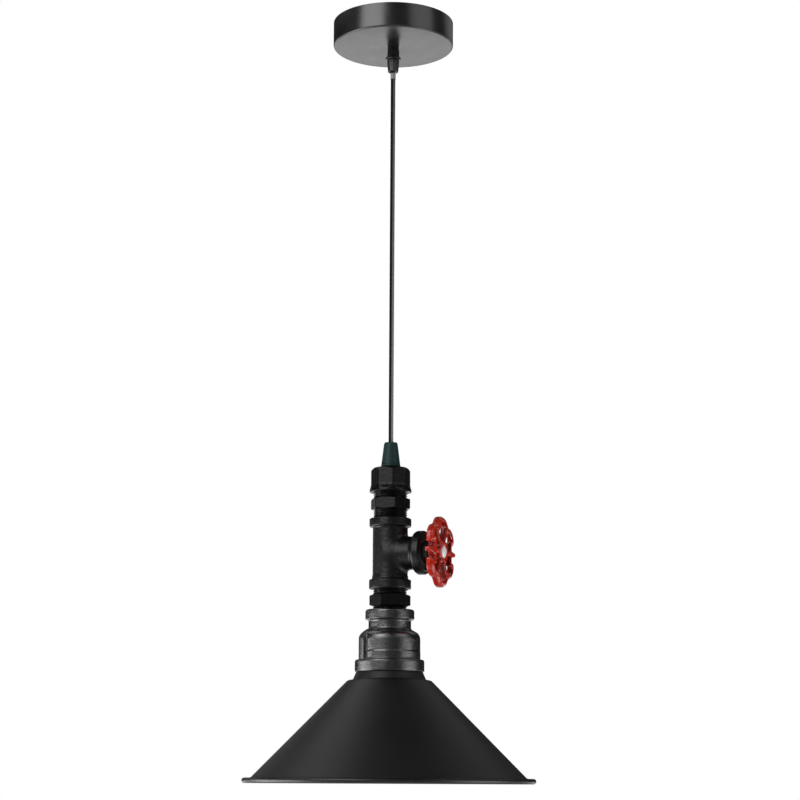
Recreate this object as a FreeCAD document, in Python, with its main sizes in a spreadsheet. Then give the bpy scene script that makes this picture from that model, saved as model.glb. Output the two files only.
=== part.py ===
import FreeCAD, Part

import math
import os
import re

import Sketcher

# A pipe pendant light: a ceiling rose with a cord grip, a round cable, and a stack of pipe fittings
# (cap, nipple, tee with a handwheel, nipple, reducing socket) that carries a lamp holder and a shade.
# The origin is at the middle of the ceiling, +Z points up, and the tee's branch points along +X.
# The lamp hangs, so every level is a depth, measured down from the ceiling.

doc = FreeCAD.newDocument("PipePendant")

# Driving dimensions, in millimetres and degrees

SIZES = {
    # ceiling rose and its bracket
    "rose_diameter": 130,
    "rose_height": 27,
    "rose_wall": 1.2,
    "rose_round": 2,
    "bracket_thickness": 2,
    "bracket_width": 20,
    "bracket_bend": 3.5,
    "ear_height": 14,
    "ear_gap": 0.3,
    "slot_spacing": 84,
    "slot_width": 5,
    "slot_length": 14,
    "rose_screw_level": 8.5,
    "rose_screw_diameter": 4,
    "rose_screw_length": 8,
    "rose_screw_head": 7,
    "rose_screw_inset": 0.1,
    "pan_head_diameter": 7,
    "pan_head_height": 2.4,
    "pan_head_round": 1.2,
    # wiring in the rose
    "block_length": 16,
    "block_height": 11,
    "block_edge": 6,
    "pole_pitch": 16,
    "pole_margin": 5,
    "wire_way": 3.4,
    "block_screw_diameter": 3,
    "clamp_screw_spacing": 8,
    "clamp_screw_length": 4,
    "earth_screw_place": 17,
    "lug_diameter": 8,
    "lug_thickness": 0.8,
    "lug_overlap": 0.5,
    "lead_bend": 4,
    "core_diameter": 1.8,
    "core_spread": 1.3,
    "sheath_rise": 3,
    # cord grip
    "grip_stem": 8,
    "grip_bore": 6,
    "grip_neck_diameter": 10,
    "grip_neck_length": 3,
    "grip_diameter": 13.5,
    "grip_length": 9,
    "grip_ring_diameter": 16.8,
    "grip_ring_height": 2.5,
    "grip_chamfer": 0.6,
    "ring_chamfer": 0.4,
    "grip_thread_diameter": 11,
    "grip_thread_length": 6.5,
    "bush_diameter": 8.6,
    "bush_length": 9,
    "clamp_top_diameter": 13.3,
    "clamp_mouth_diameter": 11.4,
    "clamp_length": 15,
    "clamp_flare": 10,
    "pivot_inset": 2.5,
    "pivot_clearance": 0.4,
    "grip_washer_diameter": 16,
    "washer_thickness": 1,
    "grip_nut_width": 13,
    "grip_nut_height": 4,
    "stem_end": 1,
    # cable
    "cable_diameter": 5,
    "cable_length": 407.5,
    "bend_gap": 0.3,
    "sleeve_wall": 0.3,
    "sleeve_length": 5,
    "sleeve_drop": 1.3,
    # strain relief cone
    "relief_top_diameter": 12.8,
    "relief_bottom_diameter": 19,
    "relief_length": 24.6,
    "relief_round": 1,
    "relief_stem": 10,
    "relief_stem_length": 10.5,
    "relief_nut_width": 14,
    "relief_nut_height": 4,
    # pipe thread shared by the fittings
    "pipe_diameter": 33.25,
    "pipe_neck_diameter": 32.2,
    "pipe_bore": 24,
    "thread_length": 13,
    "thread_relief": 2,
    "thread_chamfer": 0.8,
    "fitting_bore": 28,
    # cap
    "cap_width": 37.4,
    "cap_corner_diameter": 40.2,
    "cap_height": 27.1,
    "cap_flats": 21.2,
    "cap_skirt_diameter": 43.2,
    "cap_skirt_round": 1.6,
    "cap_dome_diameter": 35,
    "cap_dome_height": 2.6,
    "cap_shoulder": 5,
    "cap_shoulder_round": 6,
    "cap_join": 1,
    "cap_skirt_inset": 0.5,
    "cap_skirt_flare": 1.8,
    "cap_roof": 4,
    "cap_turn": 27,
    # nipples
    "hex_width": 36,
    "hex_chamfer": 1.2,
    "hex_corner_cut": 0.2,
    "hex_face_inset": 0.3,
    "upper_hex_height": 12,
    "upper_neck": 7.5,
    "upper_tail": 8.1,
    "upper_turn": 3,
    "lower_hex_height": 11.5,
    "lower_neck": 6.5,
    "lower_tail": 3.3,
    "lower_turn": 23,
    # tee
    "tee_height": 73.4,
    "tee_centre": 36.7,
    "tee_body_diameter": 36.4,
    "tee_band_diameter": 43.6,
    "tee_top_band": 8.6,
    "tee_bottom_band": 9.7,
    "tee_band_round": 1.4,
    "tee_band_fillet": 1.6,
    "tee_ledge": 0.5,
    "tee_ledge_height": 2.2,
    "branch_diameter": 34.6,
    "branch_reach": 39,
    "branch_band": 9.4,
    "branch_band_fillet": 2.4,
    "branch_fillet": 4.4,
    "fillet_share": 0.9,
    # plug, spindle and handwheel on the branch
    "plug_face_inset": 0.1,
    "boss_width": 20.5,
    "boss_length": 5.6,
    "boss_chamfer": 1,
    "spindle_diameter": 8,
    "spindle_chamfer": 0.6,
    "spindle_tail": 3.2,
    "clip_diameter": 13,
    "clip_thickness": 1.2,
    "clip_groove": 1,
    "clip_pinch": 1.2,
    "wheel_gap": 0.3,
    "wheel_setback": 5.5,
    "rim_depth": 8.8,
    "rim_wall": 5.2,
    "rim_front_round": 2.6,
    "rim_back_round": 1,
    "lobe_centre": 22,
    "lobe_radius": 14.8,
    "lobe_count": 6,
    "valley_round": 4,
    "hub_diameter": 18,
    "hub_length": 12.8,
    "spoke_width": 4.2,
    "spoke_depth": 4.8,
    "spoke_setback": 1.8,
    "nib_count": 2,
    "nib_reach": 38.4,
    "nib_width": 7,
    "nib_tip": 1.6,
    "nib_depth": 7,
    "nib_setback": 0.9,
    "wheel_thread": 6,
    "wheel_washer_diameter": 14.4,
    "wheel_nut_diameter": 12.6,
    "wheel_nut_height": 2.6,
    "wheel_nut_round": 0.8,
    # reducing socket
    "socket_height": 63.7,
    "socket_top_diameter": 49.1,
    "socket_top_band": 10,
    "socket_band_slope": 1,
    "socket_neck_diameter": 42.3,
    "socket_neck_end": 20.2,
    "socket_body_diameter": 63.2,
    "socket_shoulder_end": 30.5,
    "socket_shoulder_round": 9,
    "socket_line": 0.4,
    "socket_line_level": 43,
    "socket_band_diameter": 71,
    "socket_bottom_band": 12.2,
    "socket_foot_fillet": 1,
    "socket_round": 2,
    "socket_wall": 3.6,
    "socket_thread_diameter": 59.6,
    "socket_rib_width": 10,
    "socket_rib_proud": 2,
    "socket_rib_round": 13,
    "socket_rib_turn": 45,
    # what hangs the lamp holder in the socket
    "anchor_thickness": 2,
    "anchor_gap": 0.3,
    "carrier_thickness": 3,
    "tube_diameter": 10,
    "tube_bore": 7,
    "tube_nut_width": 14,
    "tube_nut_height": 4,
    "tube_end": 1,
    # lamp holder
    "holder_diameter": 39.6,
    "holder_wall": 1.4,
    "holder_roof": 2,
    "holder_dome": 7,
    "holder_cap_height": 18,
    "holder_length": 55.2,
    "skirt_wall": 2.6,
    "skirt_thread_length": 6,
    "skirt_flange_diameter": 46,
    "skirt_flange": 3,
    "insert_flange": 3,
    "insert_rise": 1,
    "insert_depth": 12,
    "insert_pilot_inset": 2,
    "wire_way_gap": 2,
    "shell_bore": 26.3,
    "shell_wall": 0.4,
    "shell_length": 26,
    "collar_bore": 24,
    "collar_height": 3,
    "collar_lip_bore": 16,
    "contact_diameter": 7,
    "contact_height": 2.5,
    "contact_screw_diameter": 3.6,
    "contact_screw_height": 2.4,
    "contact_screw_spacing": 22,
    "holder_earth_place": 9.2,
    "shade_ring_diameter": 54,
    "shade_ring_height": 8,
    "shade_ring_round": 1,
    # shade
    "shade_sheet": 1,
    "shade_hole_clearance": 0.5,
    "shade_neck_top": 68,
    "shade_neck_bottom": 75,
    "shade_neck_height": 8,
    "shade_shoulder_diameter": 93.4,
    "shade_shoulder_height": 5.3,
    "shade_shoulder_round": 20,
    "shade_cone_height": 94.3,
    "shade_flange_width": 9,
    "bead_diameter": 5.6,
    "shade_diameter": 300,
    # clearances
    "thread_fit": 0.05,
    "running_fit": 0.1,
    "hole_clearance": 0.2,
    "overcut": 1,
}

# Depths below the ceiling and other sizes that follow from the driving ones

LEVELS = {
    "rose_radius": "rose_diameter / 2",
    "ear_face": "sqrt((rose_radius - rose_wall - ear_gap) ^ 2 - (bracket_width / 2) ^ 2)",
    "rose_floor": "rose_height - rose_wall",
    "grip_nut_top": "rose_floor - washer_thickness - grip_nut_height",
    "grip_stem_top": "grip_nut_top - stem_end",
    "grip_shoulder": "rose_height + grip_neck_length",
    "clamp_top": "grip_shoulder + grip_length + grip_ring_height",
    "grip_mouth": "clamp_top + clamp_length",
    "pivot": "grip_mouth - pivot_inset",
    "bush_top": "clamp_top + grip_thread_length - bush_length",
    "cable_top": "pivot + cable_diameter / 2 + bend_gap",
    "relief_top": "cable_top + cable_length",
    "cap_top": "relief_top + relief_length",
    "cap_bottom": "cap_top + cap_height",
    "upper_hex_top": "cap_bottom + upper_neck",
    "tee_top": "upper_hex_top + upper_hex_height + upper_tail",
    "branch_level": "tee_top + tee_centre",
    "tee_bottom": "tee_top + tee_height",
    "lower_hex_top": "tee_bottom + lower_neck",
    "socket_top": "lower_hex_top + lower_hex_height + lower_tail",
    "socket_bottom": "socket_top + socket_height",
    "anchor_seat": "thread_length + anchor_gap + anchor_thickness",
    "carrier_bottom": "socket_top + socket_shoulder_end + carrier_thickness",
    "holder_top": "carrier_bottom + tube_nut_height",
    "tube_top": "socket_top + anchor_seat - anchor_thickness - tube_nut_height - tube_end",
    "tube_bottom": "holder_top + holder_roof + tube_end",
    "skirt_top": "holder_top + holder_cap_height - skirt_thread_length",
    "holder_bottom": "holder_top + holder_length",
    "insert_top": "skirt_top - insert_flange - insert_rise",
    "insert_bottom": "skirt_top + insert_depth",
    "blend_room": "branch_reach - branch_band - branch_band_fillet - tee_body_diameter / 2",
    "cone_foot_radius": "shade_diameter / 2 - shade_flange_width",
    "shade_cone_top": "shade_neck_height + shade_shoulder_height",
    "valley_radius": "lobe_centre * cos(180 / lobe_count) + sqrt(lobe_radius ^ 2 - "
                     "(lobe_centre * sin(180 / lobe_count)) ^ 2)",
    "plug_face": "branch_reach - plug_face_inset",
    "hub_back": "plug_face + boss_length + wheel_gap",
    "rim_back": "hub_back + wheel_setback",
    "hub_front": "hub_back + hub_length",
}

sheets = {}


def fill_sheet(name, rows, text_of):
    """A spreadsheet with one named value in each row."""
    sheet = doc.addObject("Spreadsheet::Sheet", name)
    for row, (alias, entry) in enumerate(rows.items(), start=1):
        sheets[alias] = name
        sheet.set(f"A{row}", alias.replace("_", " "))
        sheet.set(f"B{row}", text_of(entry))
        sheet.setAlias(f"B{row}", alias)
    doc.recompute()
    return sheet


def bind(text):
    """The expression with each value's name led by the sheet that holds it."""
    def full(match):
        word = match.group(0)
        return f"{sheets[word]}.{word}" if word in sheets else word
    return re.sub(r"[a-z][a-z_]*", full, text)


sizes = fill_sheet("Sizes", SIZES, str)
levels = fill_sheet("Levels", LEVELS, lambda formula: "=" + bind(formula))


def value(text):
    """The expression's number as the sheets stand."""
    return float(sizes.evalExpression(bind(text)))


def drive(thing, prop, text):
    thing.setExpression(prop, bind(text))


# Shapes that most pieces share

def place(thing, x="0", y="0", z="0", turn=None):
    """Put a piece at bound coordinates, after a fixed turn."""
    turn = turn or FreeCAD.Rotation()
    thing.Placement = FreeCAD.Placement(FreeCAD.Vector(0, 0, 0), turn)
    for axis, text in (("x", x), ("y", y), ("z", z)):
        if text != "0":
            drive(thing, f"Placement.Base.{axis}", text)
    return thing


ALONG_X = FreeCAD.Rotation(FreeCAD.Vector(0, 1, 0), 90)
ALONG_MINUS_X = FreeCAD.Rotation(FreeCAD.Vector(0, 1, 0), -90)


def sketch_on(body, role, name):
    sketch = body.newObject("Sketcher::SketchObject", name)
    plane = [feature for feature in body.Origin.OriginFeatures if feature.Role == role][0]
    sketch.AttachmentSupport = (plane, [""])
    sketch.MapMode = "FlatFace"
    return sketch


def arc_edge(start, end, radius, side):
    """A minor arc between two points, its centre left (1) or right (-1) of the way along it."""
    chord = end - start
    lift = math.sqrt(max(radius ** 2 - (chord.Length / 2) ** 2, 0.0))
    left = FreeCAD.Vector(-chord.y, chord.x, 0).normalize()
    centre = (start + end) * 0.5 + left * lift * side
    first, last = (start, end) if side > 0 else (end, start)
    begin = math.atan2(first.y - centre.y, first.x - centre.x)
    finish = math.atan2(last.y - centre.y, last.x - centre.x)
    if finish < begin:
        finish += 2 * math.pi
    return Part.ArcOfCircle(Part.Circle(centre, FreeCAD.Vector(0, 0, 1), radius), begin, finish)


def hold(sketch, edge, end, across, along, sign):
    """Hold one point of a sketch at bound distances from the origin, either side of it."""
    for kind, axis, text, side in (("DistanceX", -2, across, 1), ("DistanceY", -1, along, sign)):
        distance = value(text)
        if text == "0":
            sketch.addConstraint(Sketcher.Constraint("PointOnObject", edge, end, axis))
            continue
        ahead = distance * side > 0
        near, far = ((-1, 1), (edge, end)) if ahead else ((edge, end), (-1, 1))
        held = sketch.addConstraint(Sketcher.Constraint(
            kind, near[0], near[1], far[0], far[1], abs(distance)))
        drive(sketch, f"Constraints[{held}]", text if distance > 0 else f"-({text})")


def draw(sketch, outline, down=True):
    """Draw a closed outline whose corners are held at bound distances from the sketch's origin.

    A corner is (across, along) or (across, along, radius, side), where the edge that arrives at it
    is an arc. The second number counts down the page if down is set, and else up.
    """
    sign = -1 if down else 1
    points = [FreeCAD.Vector(value(corner[0]), sign * value(corner[1]), 0) for corner in outline]
    count = len(outline)
    starts, ends = [], []
    for index in range(count):
        following = (index + 1) % count
        target = outline[following]
        if len(target) == 4:
            radius = value(target[2])
            sketch.addGeometry(arc_edge(points[index], points[following], radius, target[3]), False)
            starts.append(1 if target[3] > 0 else 2)
            ends.append(2 if target[3] > 0 else 1)
        else:
            sketch.addGeometry(Part.LineSegment(points[index], points[following]), False)
            starts.append(1)
            ends.append(2)
    for index, corner in enumerate(outline):
        before = (index - 1) % count
        sketch.addConstraint(Sketcher.Constraint(
            "Coincident", before, ends[before], index, starts[index]))
        hold(sketch, index, starts[index], corner[0], corner[1], sign)
        if len(corner) == 4:
            held = sketch.addConstraint(Sketcher.Constraint("Radius", before, value(corner[2])))
            drive(sketch, f"Constraints[{held}]", corner[2])


def draw_circle(sketch, across, along, radius, down=True):
    sign = -1 if down else 1
    centre = FreeCAD.Vector(value(across), sign * value(along), 0)
    sketch.addGeometry(Part.Circle(centre, FreeCAD.Vector(0, 0, 1), value(radius)), False)
    held = sketch.addConstraint(Sketcher.Constraint("Radius", 0, value(radius)))
    drive(sketch, f"Constraints[{held}]", radius)
    hold(sketch, 0, 3, across, along, sign)


def revolve(body, outline, name, kind="Revolution", axis="V_Axis"):
    """Turn an outline of (radius, depth) corners about the body's own axis."""
    sketch = sketch_on(body, "XZ_Plane", name + "_profile")
    draw(sketch, outline)
    feature = body.newObject("PartDesign::" + kind, name)
    feature.Profile = sketch
    feature.ReferenceAxis = (sketch, [axis])
    feature.Angle = 360
    return feature


def turned(label, outline, **where):
    """A body turned from one outline of (radius, depth) corners."""
    body = doc.addObject("PartDesign::Body", label)
    revolve(body, outline, label + "_turned")
    return place(body, **where)


def rod(name, radius, length, **where):
    cylinder = doc.addObject("Part::Cylinder", name)
    drive(cylinder, "Radius", radius)
    drive(cylinder, "Height", length)
    return place(cylinder, **where)


def slab(name, length, width, height, **where):
    box = doc.addObject("Part::Box", name)
    drive(box, "Length", length)
    drive(box, "Width", width)
    drive(box, "Height", height)
    return place(box, **where)


def many_sided(name, sides, across_flats, height, z, turn="0"):
    """A prism with its flats a given width apart, its first corner turned from the X axis."""
    prism = doc.addObject("Part::Prism", name)
    prism.Polygon = sides
    drive(prism, "Circumradius", f"({across_flats}) / 2 / cos({180 / sides})")
    drive(prism, "Height", height)
    prism.Placement = FreeCAD.Placement(
        FreeCAD.Vector(0, 0, 0), FreeCAD.Rotation(FreeCAD.Vector(0, 0, 1), 1))
    drive(prism, "Placement.Rotation.Angle", turn)
    drive(prism, "Placement.Base.z", z)
    return prism


def fuse(label, pieces, **where):
    union = doc.addObject("Part::MultiFuse", label)
    union.Shapes = pieces
    union.Refine = True
    return place(union, **where)


def cut(label, base, tool, **where):
    difference = doc.addObject("Part::Cut", label)
    difference.Base = base
    difference.Tool = tool
    difference.Refine = True
    return place(difference, **where)


def overlap(label, one, other, **where):
    common = doc.addObject("Part::Common", label)
    common.Base = one
    common.Tool = other
    return place(common, **where)


def group(label, pieces, **where):
    compound = doc.addObject("Part::Compound", label)
    compound.Links = pieces
    return place(compound, **where)


def nut(label, width, height, bore, depth, turn="0"):
    """A hexagon nut with its corners turned off at both faces."""
    blank = many_sided(label + "_blank", 6, width, height, f"-({height})", turn)
    corner = f"({width}) / 2 / cos(30)"
    flat = f"({width}) / 2"
    dressing = turned(label + "_dressing", [
        (bore, "0"), (flat, "0"), (corner, f"({corner} - {flat}) / 2"),
        (corner, f"({height}) - ({corner} - {flat}) / 2"), (flat, height), (bore, height)])
    return overlap(label, blank, dressing, z=f"-({depth})")


def screw(label, shank_radius, shank_length, **where):
    """A pan-head screw with its head below the shank, measured down from the shank's tip."""
    head = f"({shank_length}) + pan_head_height"
    return turned(label, [
        ("0", "0"), (shank_radius, "0"), (shank_radius, shank_length),
        ("pan_head_diameter / 2", shank_length),
        ("pan_head_diameter / 2", f"{head} - pan_head_round"),
        ("pan_head_diameter / 2 - pan_head_round", head, "pan_head_round", -1),
        ("0", head)], **where)


def tube_wire(points, bend):
    """A path of straight runs joined by tangent arcs."""
    edges = []
    last = points[0]
    for index in range(1, len(points) - 1):
        corner = points[index]
        arriving = (corner - points[index - 1]).normalize()
        leaving = (points[index + 1] - corner).normalize()
        turn = arriving.getAngle(leaving)
        reach = bend * math.tan(turn / 2)
        begin = corner - arriving * reach
        finish = corner + leaving * reach
        inward = (leaving - arriving).normalize()
        middle = corner + inward * (bend / math.cos(turn / 2) - bend)
        edges.append(Part.LineSegment(last, begin).toShape())
        edges.append(Part.Arc(begin, middle, finish).toShape())
        last = finish
    edges.append(Part.LineSegment(last, points[-1]).toShape())
    return Part.Wire(edges)


def core_shape(points, bend):
    """An insulated core along a path, its points given as expressions."""
    path = [FreeCAD.Vector(*(value(text) for text in point)) for point in points]
    radius = value("core_diameter / 2")
    ring = Part.Circle(path[0], path[1] - path[0], radius).toShape()
    return tube_wire(path, value(bend)).makePipeShell([Part.Wire(ring)], True, False)


def core(label, points, bend):
    feature = doc.addObject("Part::Feature", label)
    feature.Shape = core_shape(points, bend)
    return feature


# Ceiling bracket: a strip with two ears bent down inside the rose

def build_bracket():
    body = doc.addObject("PartDesign::Body", "bracket_strip")
    sketch = sketch_on(body, "XZ_Plane", "bracket_side")
    inner_bend = "bracket_bend - bracket_thickness"
    draw(sketch, [
        ("0", "0"), ("ear_face - bracket_bend", "0"),
        ("ear_face", "bracket_bend", "bracket_bend", -1),
        ("ear_face", "ear_height"), ("ear_face - bracket_thickness", "ear_height"),
        ("ear_face - bracket_thickness", "bracket_bend"),
        ("ear_face - bracket_bend", "bracket_thickness", inner_bend, 1),
        ("0", "bracket_thickness")])
    pad = body.newObject("PartDesign::Pad", "bracket_half")
    pad.Profile = sketch
    pad.SideType = "Symmetric"
    drive(pad, "Length", "bracket_width")
    doc.recompute()
    mirrored = body.newObject("PartDesign::Mirrored", "bracket_both")
    mirrored.Originals = [pad]
    plane = [feature for feature in body.Origin.OriginFeatures if feature.Role == "YZ_Plane"][0]
    mirrored.MirrorPlane = (plane, [""])
    body.Tip = mirrored
    holes = []
    below = "-(bracket_thickness + overcut)"
    depth = "bracket_thickness + 2 * overcut"
    for side in ("", "-"):
        middle = f"{side}slot_spacing / 2"
        straight = "slot_length - slot_width"
        holes.append(slab("slot_middle", straight, "slot_width", depth,
                          x=f"{middle} - ({straight}) / 2", y="-slot_width / 2", z=below))
        for end in ("-", "+"):
            holes.append(rod("slot_end", "slot_width / 2", depth,
                             x=f"{middle} {end} ({straight}) / 2", z=below))
    holes.append(rod("ear_threads", "rose_screw_diameter / 2 + thread_fit", "2 * (ear_face + overcut)",
                     x="-(ear_face + overcut)", z="-rose_screw_level", turn=ALONG_X))
    holes.append(rod("earth_thread", "rose_screw_diameter / 2 + thread_fit", depth,
                     x="earth_screw_place", z=below))
    holes.append(rod("block_thread", "block_screw_diameter / 2 + thread_fit", depth,
                     x="-(block_edge + block_length / 2)", z=below))
    return cut("mounting_bracket", body, fuse("bracket_holes", holes))


# Ceiling rose: a shallow drum, open at the top, with a hole for the cord grip

def build_rose():
    stem_hole = "grip_stem / 2 + hole_clearance"
    inside = "rose_radius - rose_wall"
    drum = turned("rose_drum", [
        (inside, "0"), ("rose_radius", "0"), ("rose_radius", "rose_height - rose_round"),
        ("rose_radius - rose_round", "rose_height", "rose_round", -1),
        (stem_hole, "rose_height"), (stem_hole, "rose_floor"),
        ("rose_radius - rose_round", "rose_floor"),
        (inside, "rose_height - rose_round", "rose_round - rose_wall", 1)])
    reach = "rose_radius - rose_screw_inset"
    tip = f"{reach} - rose_screw_length"
    shank, head = "rose_screw_diameter / 2", "rose_screw_head / 2"
    sunk = f"rose_screw_length - ({head} - {shank})"
    way = f"({shank} + hole_clearance)"
    mouth = f"({head} + hole_clearance)"
    holes, screws = [], []
    for side, turn in (("", ALONG_MINUS_X), ("-", ALONG_X)):
        holes.append(turned("rose_screw_hole", [
            ("0", "0"), (way, "0"), (way, f"{sunk}"), (mouth, f"{sunk} + {mouth} - {way}"),
            (mouth, "rose_screw_length + overcut"), ("0", "rose_screw_length + overcut")],
            x=f"{side}({tip})", z="-rose_screw_level", turn=turn))
        screws.append(turned("rose_screw", [
            ("0", "0"), (shank, "0"), (shank, sunk), (head, "rose_screw_length"),
            ("0", "rose_screw_length")], x=f"{side}({tip})", z="-rose_screw_level", turn=turn))
    return [cut("ceiling_rose", drum, fuse("rose_screw_holes", holes)), group("rose_screws", screws)]


# Wiring in the rose: a two-pole terminal block, an earth screw and the three cores of the cable

def build_wiring():
    block_width = "pole_pitch + 2 * pole_margin"
    block_middle = "-(block_edge + block_length / 2)"
    wire_level = "bracket_thickness + block_height / 2"
    block_bottom = "bracket_thickness + block_height"
    block = slab("block_body", "block_length", block_width, "block_height",
                 x="-(block_edge + block_length)", y=f"-({block_width}) / 2", z=f"-({block_bottom})")
    holes = [rod("block_screw_hole", "block_screw_diameter / 2 + hole_clearance", "block_height + 2 * overcut",
                 x=block_middle, z=f"-({block_bottom} + overcut)")]
    screws = []
    for side in ("", "-"):
        pole = f"{side}pole_pitch / 2"
        holes.append(rod("wire_hole", "wire_way / 2", "block_length + 2 * overcut",
                         x="-(block_edge + block_length + overcut)", y=pole, z=f"-({wire_level})",
                         turn=ALONG_X))
        for end in ("-", "+"):
            along = f"{block_middle} {end} clamp_screw_spacing / 2"
            holes.append(rod("clamp_hole", "block_screw_diameter / 2 + thread_fit",
                             "block_height / 2 + overcut", x=along, y=pole,
                             z=f"-({block_bottom} + overcut)"))
            screws.append(rod("clamp_screw", "block_screw_diameter / 2", "clamp_screw_length",
                              x=along, y=pole, z=f"-({block_bottom})"))
    pieces = [cut("terminal_block", block, fuse("block_holes", holes))]
    pieces.append(group("terminal_screws", screws))
    pieces.append(screw("block_screw", "block_screw_diameter / 2", block_bottom, x=block_middle))
    pieces.append(screw("earth_screw", "rose_screw_diameter / 2", "bracket_thickness + lug_thickness",
                        x="earth_screw_place"))
    sheath_top = "-(grip_stem_top - sheath_rise)"
    for label, side in (("rose_live_core", ""), ("rose_neutral_core", "-")):
        across = f"{side}core_spread"
        pole = f"{side}pole_pitch / 2"
        pieces.append(core(label, [
            ("0", across, sheath_top),
            ("0", across, f"-({wire_level})"),
            ("-block_edge / 2", pole, f"-({wire_level})"),
            ("-(block_edge + block_length / 4)", pole, f"-({wire_level})")], "core_diameter"))
    lug_top = "-bracket_thickness"
    lug_middle = f"{lug_top} - lug_thickness / 2"
    lug_edge = "earth_screw_place - lug_diameter / 2"
    lead = core_shape([
        ("core_spread", "0", sheath_top),
        ("core_spread", "0", f"{sheath_top} + lead_bend"),
        (f"{lug_edge} - lead_bend", "0", f"{lug_middle} - core_diameter"),
        (f"{lug_edge} + lug_overlap", "0", f"{lug_middle} - core_diameter / 2")], "core_diameter")
    screw_axis = value("earth_screw_place")
    lug_face = FreeCAD.Vector(screw_axis, 0, value(f"{lug_top} - lug_thickness"))
    ring = Part.makeCylinder(value("lug_diameter / 2"), value("lug_thickness"), lug_face)
    hole = Part.makeCylinder(
        value("rose_screw_diameter / 2 + thread_fit"), value("lug_thickness"), lug_face)
    strap = Part.makeBox(value("2 * ear_face"), value("bracket_width"), value("bracket_thickness"),
                         FreeCAD.Vector(-value("ear_face"), -value("bracket_width / 2"), value(lug_top)))
    head = Part.makeCylinder(
        value("pan_head_diameter / 2 + hole_clearance"), value("pan_head_height + overcut"), lug_face,
        FreeCAD.Vector(0, 0, -1))
    earth = doc.addObject("Part::Feature", "rose_earth_core")
    earth.Shape = lead.cut(strap).cut(head).fuse(ring).cut(hole)
    pieces.append(earth)
    return pieces


# Cord grip: a threaded stem through the rose, a bush, and a clamp nut with a flared mouth

def build_grip():
    top = "grip_stem_top"
    shoulder = f"grip_shoulder - {top}"
    ring = f"grip_shoulder + grip_length - {top}"
    thread = f"clamp_top - {top}"
    end = f"clamp_top + grip_thread_length - {top}"
    bush = "bush_diameter / 2 + thread_fit"
    body = turned("grip_body", [
        ("grip_bore / 2", "0"), ("grip_stem / 2", "0"), ("grip_stem / 2", f"rose_height - {top}"),
        ("grip_neck_diameter / 2", f"rose_height - {top}"),
        ("grip_neck_diameter / 2", shoulder),
        ("grip_diameter / 2 - grip_chamfer", shoulder),
        ("grip_diameter / 2", f"{shoulder} + grip_chamfer"),
        ("grip_diameter / 2", ring), ("grip_ring_diameter / 2 - ring_chamfer", ring),
        ("grip_ring_diameter / 2", f"{ring} + ring_chamfer"),
        ("grip_ring_diameter / 2", f"{thread} - ring_chamfer"),
        ("grip_ring_diameter / 2 - ring_chamfer", thread),
        ("grip_thread_diameter / 2", thread), ("grip_thread_diameter / 2", end),
        (bush, end), (bush, f"bush_top - {top}"), ("grip_bore / 2", f"bush_top - {top}")],
        z=f"-{top}")
    cable = "cable_diameter / 2 + thread_fit"
    rubber = turned("grip_bush", [
        (cable, "0"), ("bush_diameter / 2", "0"), ("bush_diameter / 2", "bush_length"),
        (cable, "bush_length")], z="-bush_top")
    threads = "grip_thread_diameter / 2 + thread_fit"
    seat = "grip_thread_length + thread_fit"
    way = "cable_diameter / 2 + pivot_clearance"
    clamp = turned("grip_cone", [
        (threads, "0"), ("clamp_top_diameter / 2", "0"),
        ("clamp_mouth_diameter / 2", "clamp_length"), ("clamp_flare / 2", "clamp_length"),
        (way, "clamp_length - pivot_inset"), (way, seat), (threads, seat)], z="-clamp_top")
    washer = turned("grip_washer", [
        ("grip_stem / 2 + thread_fit", "0"), ("grip_washer_diameter / 2", "0"),
        ("grip_washer_diameter / 2", "washer_thickness"),
        ("grip_stem / 2 + thread_fit", "washer_thickness")], z="-(rose_floor - washer_thickness)")
    lock = nut("grip_nut", "grip_nut_width", "grip_nut_height", "grip_stem / 2 + thread_fit",
               "grip_nut_top")
    tail_top = "grip_stem_top - sheath_rise"
    tail_length = f"pivot - cable_diameter / 2 - bend_gap - ({tail_top})"
    tail = rod("cable_in_rose", "cable_diameter / 2", tail_length,
               z=f"-({tail_top}) - ({tail_length})")
    return [body, rubber, clamp, washer, lock, tail]


# Cable: a short flexing length in the grip's mouth, the free length and a clear sleeve on it

def build_cable():
    bend = doc.addObject("Part::Sphere", "cable_bend")
    drive(bend, "Radius", "cable_diameter / 2")
    place(bend, z="-pivot")
    cable = rod("pendant_cable", "cable_diameter / 2", "cable_length", z="-relief_top")
    inside = "cable_diameter / 2 + thread_fit"
    outside = "cable_diameter / 2 + thread_fit + sleeve_wall"
    sleeve = turned("cable_sleeve", [
        (inside, "0"), (outside, "0"), (outside, "sleeve_length"), (inside, "sleeve_length")],
        z="-(cable_top + sleeve_drop)")
    return [bend, cable, sleeve]


# Strain relief: a tapered plug on the cap, with its own nut inside

def build_relief():
    way = "cable_diameter / 2 + thread_fit"
    end = "relief_length + relief_stem_length"
    plug = turned("cable_cone", [
        (way, "0"), ("relief_top_diameter / 2 - relief_round", "0"),
        ("relief_top_diameter / 2", "relief_round", "relief_round", -1),
        ("relief_bottom_diameter / 2", "relief_length"), ("relief_stem / 2", "relief_length"),
        ("relief_stem / 2", end), (way, end)], z="-relief_top")
    lock = nut("cone_nut", "relief_nut_width", "relief_nut_height", "relief_stem / 2 + thread_fit",
               "cap_top + cap_roof")
    return [plug, lock]


# Cap: eight flats under a domed top, and a round flared skirt

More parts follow.
